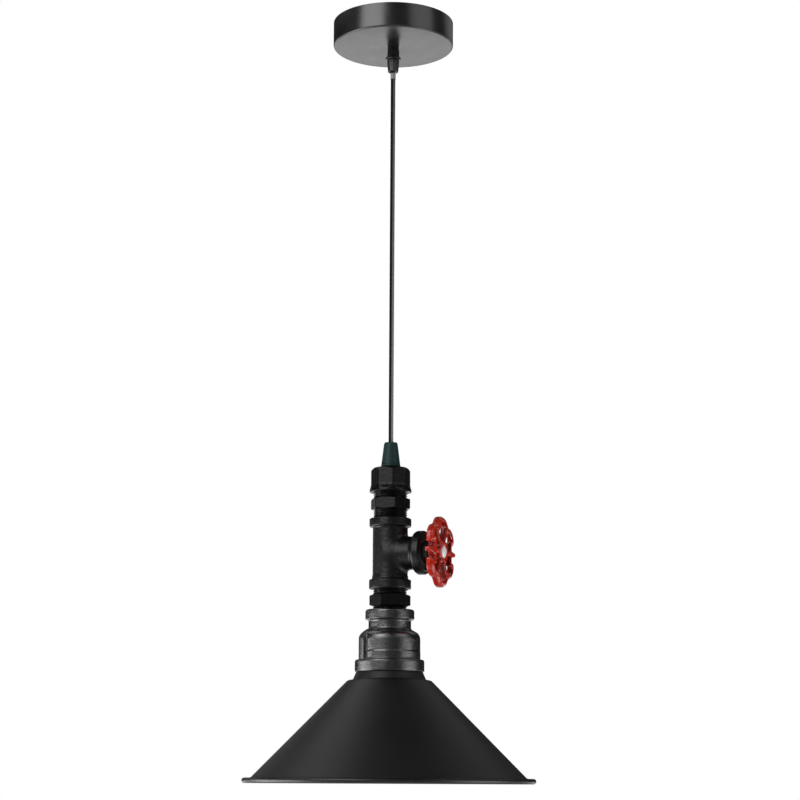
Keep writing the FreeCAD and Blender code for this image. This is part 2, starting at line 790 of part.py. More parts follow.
def build_cap():
    flats = many_sided("cap_flats_blank", 8, "cap_width", "cap_flats", "-cap_flats", "cap_turn")
    corner = "cap_corner_diameter / 2"
    dome = turned("cap_dome", [
        ("0", "0"), ("relief_bottom_diameter / 2", "0"),
        ("cap_dome_diameter / 2", "cap_dome_height"),
        (corner, "cap_dome_height + cap_shoulder", "cap_shoulder_round", -1),
        (corner, "cap_flats"), ("0", "cap_flats")])
    top = overlap("cap_faceted", flats, dome)
    skirt = "cap_skirt_diameter / 2"
    foot = turned("cap_skirt", [
        ("0", "cap_flats - cap_join"), ("cap_width / 2 - cap_skirt_inset", "cap_flats - cap_join"),
        (skirt, "cap_flats + cap_skirt_flare"), (skirt, "cap_height - cap_skirt_round"),
        (f"{skirt} - cap_skirt_round", "cap_height", "cap_skirt_round", -1), ("0", "cap_height")])
    threads = "pipe_diameter / 2 + thread_fit"
    thread_end = "cap_height - thread_length - thread_relief"
    hollow = turned("cap_hollow", [
        ("0", "cap_roof"), ("fitting_bore / 2", "cap_roof"), ("fitting_bore / 2", thread_end),
        (threads, thread_end), (threads, "cap_height + overcut"), ("0", "cap_height + overcut")])
    stem = rod("cap_stem_hole", "relief_stem / 2 + hole_clearance", "cap_roof + 2 * overcut",
               z="-(cap_roof + overcut)")
    return [cut("pipe_cap", fuse("cap_solid", [top, foot]), fuse("cap_inside", [hollow, stem]),
                z="-cap_top")]


# Hexagon nipples: two threaded ends, plain necks and a hexagon between

def build_nipple(label, neck, height, tail, turn, hex_top):
    start = "thread_length"
    first = f"{start} + {neck}"
    last = f"{first} + {height}"
    join = f"{last} + {tail}"
    end = f"{join} + thread_length"
    thread = "pipe_diameter / 2"
    throat = "pipe_neck_diameter / 2"
    tube = turned(label + "_tube", [
        ("pipe_bore / 2", "0"), (f"{thread} - thread_chamfer", "0"), (thread, "thread_chamfer"),
        (thread, start), (throat, start), (throat, join), (thread, join),
        (thread, f"{end} - thread_chamfer"), (f"{thread} - thread_chamfer", end),
        ("pipe_bore / 2", end)])
    blank = many_sided(label + "_hex", 6, "hex_width", height, f"-({last})", turn)
    corner = "hex_width / 2 / cos(30) - hex_corner_cut"
    face = "hex_width / 2 - hex_face_inset"
    dressing = turned(label + "_dressing", [
        ("pipe_bore / 2", first), (face, first), (corner, f"{first} + hex_chamfer"),
        (corner, f"{last} - hex_chamfer"), (face, last), ("pipe_bore / 2", last)])
    hexagon = overlap(label + "_hexagon", blank, dressing)
    return fuse(label, [tube, hexagon], z=f"-({hex_top} - {neck} - thread_length)")


# Tee: a turned run with a band at each end, and a branch blended into it

def band_profile(inner, outer, top, bottom, fillet_top, fillet_bottom):
    """Corners of a band that stands proud of a body, rounded outside and filleted at the body."""
    rounding = "tee_band_round"
    corners = []
    if fillet_top:
        corners += [(inner, f"{top} - tee_band_fillet"),
                    (f"{inner} + tee_band_fillet", top, "tee_band_fillet", 1)]
    corners += [(f"{outer} - {rounding}", top), (outer, f"{top} + {rounding}", rounding, -1),
                (outer, f"{bottom} - {rounding}"), (f"{outer} - {rounding}", bottom, rounding, -1)]
    if fillet_bottom:
        corners += [(f"{inner} + tee_band_fillet", bottom),
                    (inner, f"{bottom} + tee_band_fillet", "tee_band_fillet", 1)]
    return corners


def build_tee():
    body = doc.addObject("PartDesign::Body", "pipe_tee")
    inner, outer = "tee_body_diameter / 2", "tee_band_diameter / 2"
    ledge = f"{inner} + tee_ledge"
    lower = "tee_height - tee_bottom_band"
    run = [("0", "0")] + band_profile(inner, outer, "0", "tee_top_band", False, True)
    run += [(inner, f"{lower} - tee_band_fillet - tee_ledge_height"),
            (ledge, f"{lower} - tee_band_fillet - tee_ledge_height")]
    run += band_profile(ledge, outer, lower, "tee_height", True, False)
    run += [("0", "tee_height")]
    revolve(body, run, "tee_run")
    branch = sketch_on(body, "XZ_Plane", "tee_branch_profile")
    radius = "branch_diameter / 2"
    band = "branch_reach - branch_band"
    rounding = "tee_band_round"
    level = "tee_centre"
    draw(branch, [
        ("0", level), ("0", f"{level} - {radius}"),
        (f"{band} - branch_band_fillet", f"{level} - {radius}"),
        (band, f"{level} - {radius} - branch_band_fillet", "branch_band_fillet", 1),
        (band, f"{level} - {outer} + {rounding}"),
        (f"{band} + {rounding}", f"{level} - {outer}", rounding, -1),
        (f"branch_reach - {rounding}", f"{level} - {outer}"),
        ("branch_reach", f"{level} - {outer} + {rounding}", rounding, -1),
        ("branch_reach", level)])
    doc.recompute()
    arm = body.newObject("PartDesign::Revolution", "tee_branch")
    arm.Profile = branch
    arm.ReferenceAxis = (branch, ["Edge9"])
    arm.Angle = 360
    doc.recompute()
    blend = body.newObject("PartDesign::Fillet", "tee_blend")
    blend.Base = (arm, branch_edges(arm.Shape))
    drive(blend, "Radius", "min(branch_fillet; fillet_share * blend_room)")
    doc.recompute()
    threads = "(pipe_diameter / 2 + thread_fit)"
    bore = "fitting_bore / 2"
    mouth = "(thread_length + thread_relief)"
    revolve(body, [
        ("0", "0"), (threads, "0"), (threads, mouth), (bore, mouth),
        (bore, f"tee_height - {mouth}"), (threads, f"tee_height - {mouth}"),
        (threads, "tee_height"), ("0", "tee_height")], "tee_run_bore", "Groove")
    doc.recompute()
    passage = sketch_on(body, "XZ_Plane", "tee_branch_bore_profile")
    draw(passage, [
        ("0", level), ("0", f"{level} - {bore}"), (f"branch_reach - {mouth}", f"{level} - {bore}"),
        (f"branch_reach - {mouth}", f"{level} - {threads}"), ("branch_reach", f"{level} - {threads}"),
        ("branch_reach", level)])
    doc.recompute()
    groove = body.newObject("PartDesign::Groove", "tee_branch_bore")
    groove.Profile = passage
    groove.ReferenceAxis = (passage, ["Edge6"])
    groove.Angle = 360
    return [place(body, z="-tee_top")]


def branch_edges(shape):
    """The curved edge where the branch leaves the run."""
    level = -value("tee_centre")
    reach = value("tee_body_diameter / 2")
    names = []
    for number, edge in enumerate(shape.Edges, start=1):
        box = edge.BoundBox
        centred = abs((box.ZMin + box.ZMax) / 2 - level) < 0.5 or box.ZLength > 5
        crosses = box.XMax <= reach + 0.1 and box.XMin > -0.1 and box.XLength > 1
        inside = box.ZMin > level - reach - 1 and box.ZMax < level + reach + 1
        if centred and crosses and inside and edge.Curve.TypeId != "Part::GeomLine":
            names.append(f"Edge{number}")
    return names


# Branch: a threaded plug with a hexagon boss, the spindle in it and a retaining clip inside the tee

def build_branch():
    axis = {"z": "-branch_level"}
    way = "spindle_diameter / 2 + running_fit"
    plug_length = "thread_length"
    core_rod = turned("plug_thread", [
        (way, "0"), ("pipe_diameter / 2", "0"), ("pipe_diameter / 2", plug_length),
        (way, plug_length)])
    boss = many_sided("plug_hex", 6, "boss_width", "boss_length",
                      f"-({plug_length} + boss_length)", "0")
    corner = "boss_width / 2 / cos(30)"
    dressing = turned("plug_dressing", [
        (way, plug_length), (corner, plug_length),
        (corner, f"{plug_length} + boss_length - boss_chamfer"),
        ("boss_width / 2 - hex_face_inset", f"{plug_length} + boss_length"),
        (way, f"{plug_length} + boss_length")])
    head = overlap("plug_boss", boss, dressing)
    plug = fuse("branch_plug", [core_rod, head], x=f"plug_face - {plug_length}", turn=ALONG_MINUS_X,
                **axis)
    inner = "(plug_face - thread_length)"
    tail = "spindle_tail + clip_thickness"
    full = f"hub_front - {inner} + {tail}"
    end = f"{full} + washer_thickness + wheel_nut_height - wheel_nut_round"
    groove = "spindle_diameter / 2 - clip_groove"
    clip_top = "spindle_tail - running_fit"
    spindle = turned("valve_spindle", [
        ("0", "0"), ("spindle_diameter / 2 - spindle_chamfer", "0"),
        ("spindle_diameter / 2", "spindle_chamfer"),
        ("spindle_diameter / 2", clip_top), (groove, clip_top),
        (groove, f"{clip_top} + clip_thickness"), ("spindle_diameter / 2",
                                                   f"{clip_top} + clip_thickness"),
        ("spindle_diameter / 2", full), ("wheel_thread / 2", full), ("wheel_thread / 2", end),
        ("0", end)], x=f"{inner} - ({tail})", turn=ALONG_MINUS_X, **axis)
    ring = turned("clip_ring", [
        (f"{groove} + thread_fit", "thread_fit"), ("clip_diameter / 2", "thread_fit"),
        ("clip_diameter / 2", "clip_thickness - thread_fit"),
        (f"{groove} + thread_fit", "clip_thickness - thread_fit")])
    mouth = "spindle_diameter - 2 * clip_groove - clip_pinch"
    gap = slab("clip_gap", "clip_diameter", mouth, "clip_thickness + overcut", y=f"-({mouth}) / 2",
               z="-clip_thickness")
    clip = cut("spindle_clip", ring, gap, x=f"{inner} - ({tail}) + {clip_top}", turn=ALONG_MINUS_X,
               **axis)
    washer_way = "wheel_thread / 2 + thread_fit"
    washer = turned("wheel_washer", [
        (washer_way, "0"), ("wheel_washer_diameter / 2", "0"),
        ("wheel_washer_diameter / 2", "washer_thickness"), (washer_way, "washer_thickness")],
        x="hub_front", turn=ALONG_MINUS_X, **axis)
    crown = "wheel_nut_diameter / 2"
    cap = turned("wheel_nut", [
        (washer_way, "0"), (crown, "0"), (crown, "wheel_nut_height - wheel_nut_round"),
        (f"{crown} - wheel_nut_round", "wheel_nut_height", "wheel_nut_round", -1),
        ("0", "wheel_nut_height"), ("0", "wheel_nut_height - wheel_nut_round + thread_fit"),
        (washer_way, "wheel_nut_height - wheel_nut_round + thread_fit")],
        x="hub_front + washer_thickness", turn=ALONG_MINUS_X, **axis)
    return [plug, spindle, clip, washer, cap]


# Handwheel: six round lobes in a ring, a window in each, and a spoke to each valley between them

def ring_of(body, feature, name, count="lobe_count"):
    """Repeat a feature evenly round the wheel."""
    pattern = body.newObject("PartDesign::PolarPattern", name)
    pattern.Originals = [feature]
    axis = [item for item in body.Origin.OriginFeatures if item.Role == "Z_Axis"][0]
    pattern.Axis = (axis, [""])
    pattern.Angle = 360
    drive(pattern, "Occurrences", count)
    body.Tip = pattern
    doc.recompute()
    return pattern


def pad_of(body, sketch, name, length, kind="Pad"):
    feature = body.newObject("PartDesign::" + kind, name)
    feature.Profile = sketch
    drive(feature, "Length", length)
    doc.recompute()
    return feature


def edges_where(shape, test):
    return [f"Edge{number}" for number, edge in enumerate(shape.Edges, start=1) if test(edge)]


def raised_sketch(body, name, height):
    """A sketch in a plane across the wheel's axis, at a bound height over its back."""
    sketch = sketch_on(body, "XY_Plane", name)
    if height != "0":
        drive(sketch, "AttachmentOffset.Base.z", height)
    return sketch


def build_wheel():
    body = doc.addObject("PartDesign::Body", "hand_wheel")
    lobe = raised_sketch(body, "wheel_lobe_outline", "0")
    draw_circle(lobe, "lobe_centre", "0", "lobe_radius")
    ring_of(body, pad_of(body, lobe, "wheel_lobe", "rim_depth"), "wheel_lobes")
    middle = raised_sketch(body, "wheel_middle_outline", "0")
    draw_circle(middle, "0", "0", "lobe_centre")
    solid = pad_of(body, middle, "wheel_middle", "rim_depth")
    valleys = edges_where(solid.Shape, lambda edge: edge.BoundBox.ZLength > value("rim_depth") - 0.1
                          and math.hypot(edge.BoundBox.XMin, edge.BoundBox.YMin) > value("lobe_centre")
                          and edge.BoundBox.XLength < 0.01)
    round_valleys = body.newObject("PartDesign::Fillet", "wheel_valleys")
    round_valleys.Base = (solid, valleys)
    drive(round_valleys, "Radius", "valley_round")
    doc.recompute()
    front = edges_where(round_valleys.Shape, lambda edge: edge.BoundBox.ZMin > value("rim_depth") - 0.01)
    round_front = body.newObject("PartDesign::Fillet", "wheel_front_round")
    round_front.Base = (round_valleys, front)
    drive(round_front, "Radius", "rim_front_round")
    doc.recompute()
    back = edges_where(round_front.Shape, lambda edge: edge.BoundBox.ZMax < 0.01)
    round_back = body.newObject("PartDesign::Fillet", "wheel_back_round")
    round_back.Base = (round_front, back)
    drive(round_back, "Radius", "rim_back_round")
    doc.recompute()
    window = raised_sketch(body, "wheel_window_outline", "rim_depth")
    draw_circle(window, "lobe_centre", "0", "lobe_radius - rim_wall")
    hole = pad_of(body, window, "wheel_window", "rim_depth", "Pocket")
    ring_of(body, hole, "wheel_windows")
    hollow = raised_sketch(body, "wheel_hollow_outline", "rim_depth")
    draw_circle(hollow, "0", "0", "valley_radius - rim_wall")
    pad_of(body, hollow, "wheel_hollow", "rim_depth", "Pocket")
    hub = raised_sketch(body, "wheel_hub_outline", "-wheel_setback")
    draw_circle(hub, "0", "0", "hub_diameter / 2")
    pad_of(body, hub, "wheel_hub", "hub_length")
    spoke = raised_sketch(body, "wheel_spoke_outline", "spoke_setback")
    half = "spoke_width / 2"
    draw(spoke, [(half, "0"), (half, "valley_radius - rim_wall / 2"),
                 (f"-{half}", "valley_radius - rim_wall / 2"), (f"-{half}", "0")], down=False)
    ring_of(body, pad_of(body, spoke, "wheel_spoke", "spoke_depth"), "wheel_spokes")
    nib = raised_sketch(body, "wheel_nib_outline", "nib_setback")
    draw(nib, [("nib_width / 2", "valley_radius - rim_wall / 2"), ("nib_tip / 2", "nib_reach"),
               ("-nib_tip / 2", "nib_reach"), ("-nib_width / 2", "valley_radius - rim_wall / 2")],
         down=False)
    ring_of(body, pad_of(body, nib, "wheel_nib", "nib_depth"), "wheel_nibs", "nib_count")
    bore = raised_sketch(body, "wheel_bore_outline", "hub_length - wheel_setback")
    draw_circle(bore, "0", "0", "spindle_diameter / 2 + thread_fit")
    pad_of(body, bore, "wheel_bore", "hub_length", "Pocket")
    return [place(body, x="rim_back", z="-branch_level", turn=ALONG_X)]


# Reducing socket: a banded neck, a rounded shoulder, two ribs and a wide band at the foot

def build_socket():
    top, neck = "socket_top_diameter / 2", "socket_neck_diameter / 2"
    wide, foot = "socket_body_diameter / 2", "socket_band_diameter / 2"
    rounding, shoulder = "socket_round", "socket_shoulder_round"
    band_end = f"socket_top_band + ({top} - {neck}) / 2"
    foot_top = "socket_height - socket_bottom_band"
    lower = f"{wide} + socket_line"
    outside = turned("socket_outside", [
        ("0", "0"), (f"{top} - {rounding}", "0"), (top, rounding, rounding, -1),
        (top, "socket_top_band - socket_band_slope"), (neck, band_end), (neck, "socket_neck_end"),
        (f"{wide} - {shoulder} * (1 - cos(60))", f"socket_shoulder_end - {shoulder} * sin(60)"),
        (wide, "socket_shoulder_end", shoulder, -1), (wide, "socket_line_level"),
        (lower, "socket_line_level"), (lower, f"{foot_top} - socket_foot_fillet"),
        (f"{lower} + socket_foot_fillet", foot_top, "socket_foot_fillet", 1),
        (f"{foot} - {rounding}", foot_top), (foot, f"{foot_top} + {rounding}", rounding, -1),
        (foot, f"socket_height - {rounding}"),
        (f"{foot} - {rounding}", "socket_height", rounding, -1), ("0", "socket_height")])
    proud = f"({wide} + socket_rib_proud)"
    bar = slab("socket_rib_bar", f"2 * {proud}", "socket_rib_width", "socket_height",
               x=f"-{proud}", y="-socket_rib_width / 2", z="-socket_height")
    dressing = turned("socket_rib_dressing", [
        ("0", "socket_neck_end"), (f"{neck} + socket_rib_proud", "socket_neck_end"),
        (proud, "socket_shoulder_end", "socket_rib_round", -1), (proud, f"{foot_top} + overcut"),
        ("0", f"{foot_top} + overcut")])
    ribs = overlap("socket_ribs", bar, dressing, turn=FreeCAD.Rotation(FreeCAD.Vector(0, 0, 1), 1))
    drive(ribs, "Placement.Rotation.Angle", "socket_rib_turn")
    threads = "pipe_diameter / 2 + thread_fit"
    hollow = f"{wide} - socket_wall"
    wide_thread = "socket_thread_diameter / 2"
    inside = turned("socket_inside", [
        ("0", "-overcut"), (threads, "-overcut"), (threads, "anchor_seat"),
        ("fitting_bore / 2", "anchor_seat"),
        ("fitting_bore / 2", "socket_shoulder_end"), (hollow, "socket_shoulder_end"),
        (hollow, foot_top), (wide_thread, foot_top), (wide_thread, "socket_height + overcut"),
        ("0", "socket_height + overcut")])
    return [cut("reducing_socket", fuse("socket_solid", [outside, ribs]), inside, z="-socket_top")]


# What hangs the lamp holder: a disc on the socket's ledge, a threaded tube, a disc at its shoulder

def build_hanger():
    way = "tube_diameter / 2 + hole_clearance"
    threads = "tube_diameter / 2 + thread_fit"
    anchor_top = "socket_top + anchor_seat - anchor_thickness"
    anchor = turned("anchor_disc", [
        (way, "0"), ("pipe_diameter / 2 - hole_clearance", "0"),
        ("pipe_diameter / 2 - hole_clearance", "anchor_thickness"), (way, "anchor_thickness")],
        z=f"-({anchor_top})")
    rim = "socket_body_diameter / 2 - socket_wall - hole_clearance"
    carrier = turned("carrier_disc", [
        (way, "0"), (rim, "0"), (rim, "carrier_thickness"), (way, "carrier_thickness")],
        z="-(socket_top + socket_shoulder_end)")
    tube = turned("holder_nipple", [
        ("tube_bore / 2", "0"), ("tube_diameter / 2", "0"),
        ("tube_diameter / 2", "tube_bottom - tube_top"), ("tube_bore / 2", "tube_bottom - tube_top")],
        z="-tube_top")
    upper = nut("anchor_nut", "tube_nut_width", "tube_nut_height", threads,
                f"{anchor_top} - tube_nut_height")
    lower = nut("carrier_nut", "tube_nut_width", "tube_nut_height", threads, "carrier_bottom")
    return [anchor, carrier, tube, upper, lower]


# Lamp holder: a cap, a skirt with a flange for the shade, a ceramic insert and the screw shell

def build_holder():
    outer = "holder_diameter / 2"
    way = "tube_diameter / 2 + thread_fit"
    cap_inside = f"{outer} - holder_wall"
    shell = turned("holder_cap_shell", [
        (way, "0"), (f"{outer} - holder_dome", "0"), (outer, "holder_dome", "holder_dome", -1),
        (outer, "holder_cap_height"), (cap_inside, "holder_cap_height"), (cap_inside, "holder_dome"),
        (f"{outer} - holder_dome", "holder_roof"), (way, "holder_roof")])
    earth_hole = rod("holder_earth_hole", "block_screw_diameter / 2 + thread_fit",
                     "holder_roof + 2 * overcut", x="holder_earth_place", z="-(holder_roof + overcut)")
    cap = cut("holder_cap", shell, earth_hole, z="-holder_top")
    earth = screw("holder_earth_screw", "block_screw_diameter / 2", "holder_roof",
                  x="holder_earth_place", z="-holder_top")
    inside = f"{outer} - skirt_wall"
    threads = f"{outer} - holder_wall - thread_fit"
    flange = "socket_bottom - skirt_top"
    end = "holder_bottom - skirt_top"
    skirt = turned("holder_skirt", [
        (inside, "0"), (threads, "0"), (threads, "skirt_thread_length"),
        (outer, "skirt_thread_length"), (outer, f"{flange} - skirt_flange"),
        ("skirt_flange_diameter / 2", f"{flange} - skirt_flange"),
        ("skirt_flange_diameter / 2", flange), (outer, flange), (outer, end), (inside, end)],
        z="-skirt_top")
    seat = "insert_rise + insert_flange"
    bottom = f"{seat} + insert_depth"
    pilot = f"{inside} - insert_pilot_inset"
    ceramic = turned("insert_body", [
        ("0", "0"), (pilot, "0"), (pilot, "insert_rise"),
        (f"{threads} - hole_clearance", "insert_rise"), (f"{threads} - hole_clearance", seat),
        (f"{inside} - hole_clearance", seat), (f"{inside} - hole_clearance", bottom),
        ("0", bottom)])
    ways = []
    for side in ("", "-"):
        ways.append(rod("insert_wire_way", "core_diameter / 2 + hole_clearance",
                        f"{bottom} + 2 * overcut", x=f"{side}(contact_diameter / 2 + wire_way_gap)",
                        z=f"-({bottom} + overcut)"))
    insert = cut("holder_insert", ceramic, fuse("insert_ways", ways), z="-insert_top")
    lip, collar, shell_inside = "collar_lip_bore / 2", "collar_bore / 2", "shell_bore / 2"
    screw_shell = turned("screw_shell", [
        (lip, "0"), (f"{collar} + shell_wall", "0"),
        (f"{collar} + shell_wall", "collar_height - shell_wall"),
        (f"{shell_inside} + shell_wall", "collar_height - shell_wall"),
        (f"{shell_inside} + shell_wall", "shell_length"), (shell_inside, "shell_length"),
        (shell_inside, "collar_height"), (collar, "collar_height"), (collar, "shell_wall"),
        (lip, "shell_wall")], z="-insert_bottom")
    contact = turned("centre_contact", [
        ("0", "0"), ("contact_diameter / 2", "0"), ("contact_diameter / 2", "contact_height / 2"),
        ("0", "contact_height", "contact_diameter", -1)], z="-insert_bottom")
    heads = [rod("contact_screw_head", "contact_screw_diameter / 2", "contact_screw_height",
                 y=f"{side}contact_screw_spacing / 2", z="-insert_top") for side in ("", "-")]
    screws = group("contact_screws", heads)
    hole = f"{outer} + thread_fit"
    ring_outer = "shade_ring_diameter / 2"
    ring = turned("shade_ring", [
        (hole, "0"), (ring_outer, "0"), (ring_outer, "shade_ring_height - shade_ring_round"),
        (f"{ring_outer} - shade_ring_round", "shade_ring_height", "shade_ring_round", -1),
        (hole, "shade_ring_height")], z="-(socket_bottom + shade_sheet)")
    return [cap, earth, skirt, insert, screw_shell, contact, screws, ring]


# Cable inside the pipe, and its three cores in the lamp holder

def build_inner_cable():
    sheath_end = "(tube_bottom - tube_end)"
    inner = rod("cable_in_pipe", "cable_diameter / 2", f"{sheath_end} - relief_top",
                z=f"-{sheath_end}")
    pieces = [inner]
    bend = "core_diameter"
    screw_edge = "(contact_screw_spacing - contact_screw_diameter) / 2 - thread_fit"
    low = "insert_top - core_diameter / 2 - contact_screw_height / 2"
    for label, side in (("live_core", ""), ("neutral_core", "-")):
        pieces.append(core(label, [
            ("0", f"{side}core_spread", f"-{sheath_end}"), ("0", f"{side}core_spread", f"-({low})"),
            ("0", f"{side}({screw_edge})", f"-({low})")], bend))
    under = "holder_top + holder_roof + pan_head_height + core_diameter / 2"
    pieces.append(core("earth_core", [
        ("core_spread", "0", f"-{sheath_end}"), ("core_spread", "0", f"-({under})"),
        ("holder_earth_place", "0", f"-({under})")], bend))
    return pieces


# Shade: one spun sheet, from a flat top through a short neck and a shoulder to a cone, and a
# rim rolled round a wire

def build_shade():
    body = doc.addObject("PartDesign::Body", "lamp_shade")
    sheet = "shade_sheet"
    hole = "holder_diameter / 2 + shade_hole_clearance"
    top, foot = "shade_neck_top / 2", "shade_neck_bottom / 2"
    shoulder, mouth = "shade_shoulder_diameter / 2", "cone_foot_radius"
    flange = "shade_cone_top + shade_cone_height"
    bead = "bead_diameter / 2"
    bead_centre = f"(shade_diameter / 2 - {bead})"
    slant = f"{sheet} * sin(45)"
    revolve(body, [
        (hole, "0"), (f"{top} - {sheet}", "0"), (top, sheet, sheet, -1), (foot, "shade_neck_height"),
        (shoulder, "shade_cone_top", "shade_shoulder_round", -1), (mouth, flange),
        (bead_centre, flange), (bead_centre, f"{flange} + {sheet}"),
        (f"{mouth} - {sheet} * (sqrt(2) - 1)", f"{flange} + {sheet}"),
        (f"{shoulder} - {slant}", f"shade_cone_top + {slant}"),
        (f"{foot} - {slant}", f"shade_neck_height + {slant}",
         f"shade_shoulder_round - {sheet}", 1),
        (f"{top} - {sheet}", sheet), (hole, sheet)], "shade_sheet_turned")
    doc.recompute()
    section = sketch_on(body, "XZ_Plane", "shade_bead_section")
    draw_circle(section, bead_centre, f"{flange} + {bead}", bead)
    roll = body.newObject("PartDesign::Revolution", "shade_bead")
    roll.Profile = section
    roll.ReferenceAxis = (section, ["V_Axis"])
    roll.Angle = 360
    return [place(body, z="-socket_bottom")]


pieces = [build_bracket()] + build_rose() + build_wiring() + build_grip()
pieces += build_cable() + build_relief() + build_cap()
pieces.append(build_nipple("upper_nipple", "upper_neck", "upper_hex_height", "upper_tail",
                           "upper_turn", "upper_hex_top"))
pieces += build_tee() + build_branch() + build_wheel()
pieces.append(build_nipple("lower_nipple", "lower_neck", "lower_hex_height", "lower_tail",
                           "lower_turn", "lower_hex_top"))
pieces += build_socket() + build_hanger() + build_holder() + build_inner_cable() + build_shade()
doc.recompute()


def check_and_write():
    for thing in doc.Objects:
        if "Invalid" in thing.State or "Error" in thing.State:
            raise RuntimeError(f"{thing.Label} did not recompute: {thing.State}")
    os.makedirs("parts", exist_ok=True)
    for piece in pieces:
        shape = piece.Shape
        if shape.isNull() or not shape.isValid():
            raise RuntimeError(f"{piece.Label} has no valid shape")
        shape.exportStep(f"parts/{piece.Label}.step")
        box = shape.optimalBoundingBox(False)
        print(f"{piece.Label:20s} solids {len(shape.Solids)} volume {shape.Volume:10.1f} "
              f"z {box.ZMin:8.2f} {box.ZMax:8.2f} x {box.XMin:7.2f} {box.XMax:7.2f}")


check_and_write()
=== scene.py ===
"""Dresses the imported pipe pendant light: its cast fittings, painted sheet metal, cord and handwheel.

Shapes are worked out in millimetres and become metres when their mesh is made. A level is a height
in the frame of the part, whose origin is at the ceiling with +Z up.
"""

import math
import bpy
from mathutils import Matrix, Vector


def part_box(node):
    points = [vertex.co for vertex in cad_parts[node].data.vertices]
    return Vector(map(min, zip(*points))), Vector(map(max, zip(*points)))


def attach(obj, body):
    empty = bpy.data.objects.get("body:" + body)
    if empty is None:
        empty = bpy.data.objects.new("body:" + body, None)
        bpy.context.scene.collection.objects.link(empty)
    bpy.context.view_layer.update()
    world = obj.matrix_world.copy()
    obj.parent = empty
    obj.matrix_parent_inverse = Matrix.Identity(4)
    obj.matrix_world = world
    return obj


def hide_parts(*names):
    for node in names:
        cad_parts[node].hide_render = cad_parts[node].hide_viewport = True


bl_info = {
    "name": "Pipe Pendant Light",
    "version": (1, 0, 0),
    "blender": (4, 5, 0),
    "location": "View3D > Sidebar > Pendant",
    "description": "Builds the visible pieces of a pipe pendant light around its packed solids",
    "category": "Add Mesh",
}

import bmesh
import bpy
import numpy as np
from bpy.props import FloatProperty, FloatVectorProperty, PointerProperty
from mathutils import Matrix, Vector, noise

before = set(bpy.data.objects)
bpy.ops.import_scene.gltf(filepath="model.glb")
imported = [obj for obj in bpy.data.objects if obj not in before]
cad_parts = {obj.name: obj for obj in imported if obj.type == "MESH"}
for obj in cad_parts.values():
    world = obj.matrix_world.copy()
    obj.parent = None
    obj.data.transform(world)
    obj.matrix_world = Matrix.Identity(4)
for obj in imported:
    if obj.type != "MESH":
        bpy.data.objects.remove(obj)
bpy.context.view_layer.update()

MM = 0.001
ARC_STEP = math.radians(12)
CORE_TINTS = {
    "live_core": (0.16, 0.06, 0.02), "neutral_core": (0.02, 0.1, 0.42),
    "earth_core": (0.1, 0.38, 0.03)}


# Reading the frame

class Span:
    """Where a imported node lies, in millimetres."""

    def __init__(self, node):
        low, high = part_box(node)
        self.left, self.right = low.x / MM, high.x / MM
        self.bottom, self.top = low.z / MM, high.z / MM
        self.radius = high.y / MM
        self.height = self.top - self.bottom
        self.middle = (self.top + self.bottom) / 2


# Forms: corners in millimetres and the faces between them

class Form:
    """A surface that can be added to another, moved and turned before it becomes a mesh."""

    def __init__(self, corners, faces):
        self.corners = np.asarray(corners, float).reshape(-1, 3)
        self.faces = [tuple(face) for face in faces]

    def __add__(self, other):
        shift = len(self.corners)
        faces = self.faces + [tuple(index + shift for index in face) for face in other.faces]
        return Form(np.vstack([self.corners, other.corners]), faces)

    def moved(self, x=0.0, y=0.0, z=0.0):
        return Form(self.corners + np.array([x, y, z]), self.faces)

    def turned(self, degrees, axis="Z"):
        spin_matrix = np.array(Matrix.Rotation(math.radians(degrees), 3, axis))
        return Form(self.corners @ spin_matrix.T, self.faces)

    def along_x(self):
        """The form laid over, so that what pointed up points along +X."""
        return self.turned(90, "Y")


def arc(start, finish, radius, side):
    """Points of a minor arc, its centre left (1) or right (-1) of the way from start to finish."""
    start, finish = Vector(start), Vector(finish)
    chord = finish - start
    lift = math.sqrt(max(radius ** 2 - (chord.length / 2) ** 2, 0.0))
    centre = (start + finish) / 2 + Vector((-chord.y, chord.x)).normalized() * lift * side
    return swept(centre, start, finish)


def swept(centre, start, finish):
    """Points of an arc round a centre, the short way from start to finish."""
    first, last = start - centre, finish - centre
    begin = math.atan2(first.y, first.x)
    turn = (math.atan2(last.y, last.x) - begin + math.pi) % (2 * math.pi) - math.pi
    steps = max(2, math.ceil(abs(turn) / ARC_STEP))
    angles = [begin + turn * step / steps for step in range(steps + 1)]
    return [centre + Vector((math.cos(angle), math.sin(angle))) * first.length for angle in angles]


def eased(before, here, after, size):
    """Points of the arc that takes the place of a sharp corner."""
    before, here, after = Vector(before), Vector(here), Vector(after)
    back, ahead = before - here, after - here
    half = back.angle(ahead) / 2
    room = 0.49 * min(back.length, ahead.length)
    reach = min(size / math.tan(half), room)
    bisector = (back.normalized() + ahead.normalized()).normalized()
    centre = here + bisector * (reach / math.cos(half))
    return swept(centre, here + back.normalized() * reach, here + ahead.normalized() * reach)


def profile(*corners, closed=True, longest=None):
    """An outline of (radius, height) corners, each eased by its third number where it has one."""
    points = []
    count = len(corners)
    for index, corner in enumerate(corners):
        inner = closed or 0 < index < count - 1
        if len(corner) > 2 and inner:
            after = corners[(index + 1) % count]
            points += eased(corners[index - 1][:2], corner[:2], after[:2], corner[2])
        else:
            points.append(Vector(corner[:2]))
    return divided(points, closed, longest) if longest else points


def divided(points, closed, longest):
    """The outline with its long runs cut into shorter ones, for what is drawn on it later."""
    full = []
    ends = points[1:] + (points[:1] if closed else [])
    for start, finish in zip(points, ends):
        count = max(1, math.ceil((finish - start).length / longest))
        full += [start.lerp(finish, step / count) for step in range(count)]
    return full if closed else full + points[-1:]


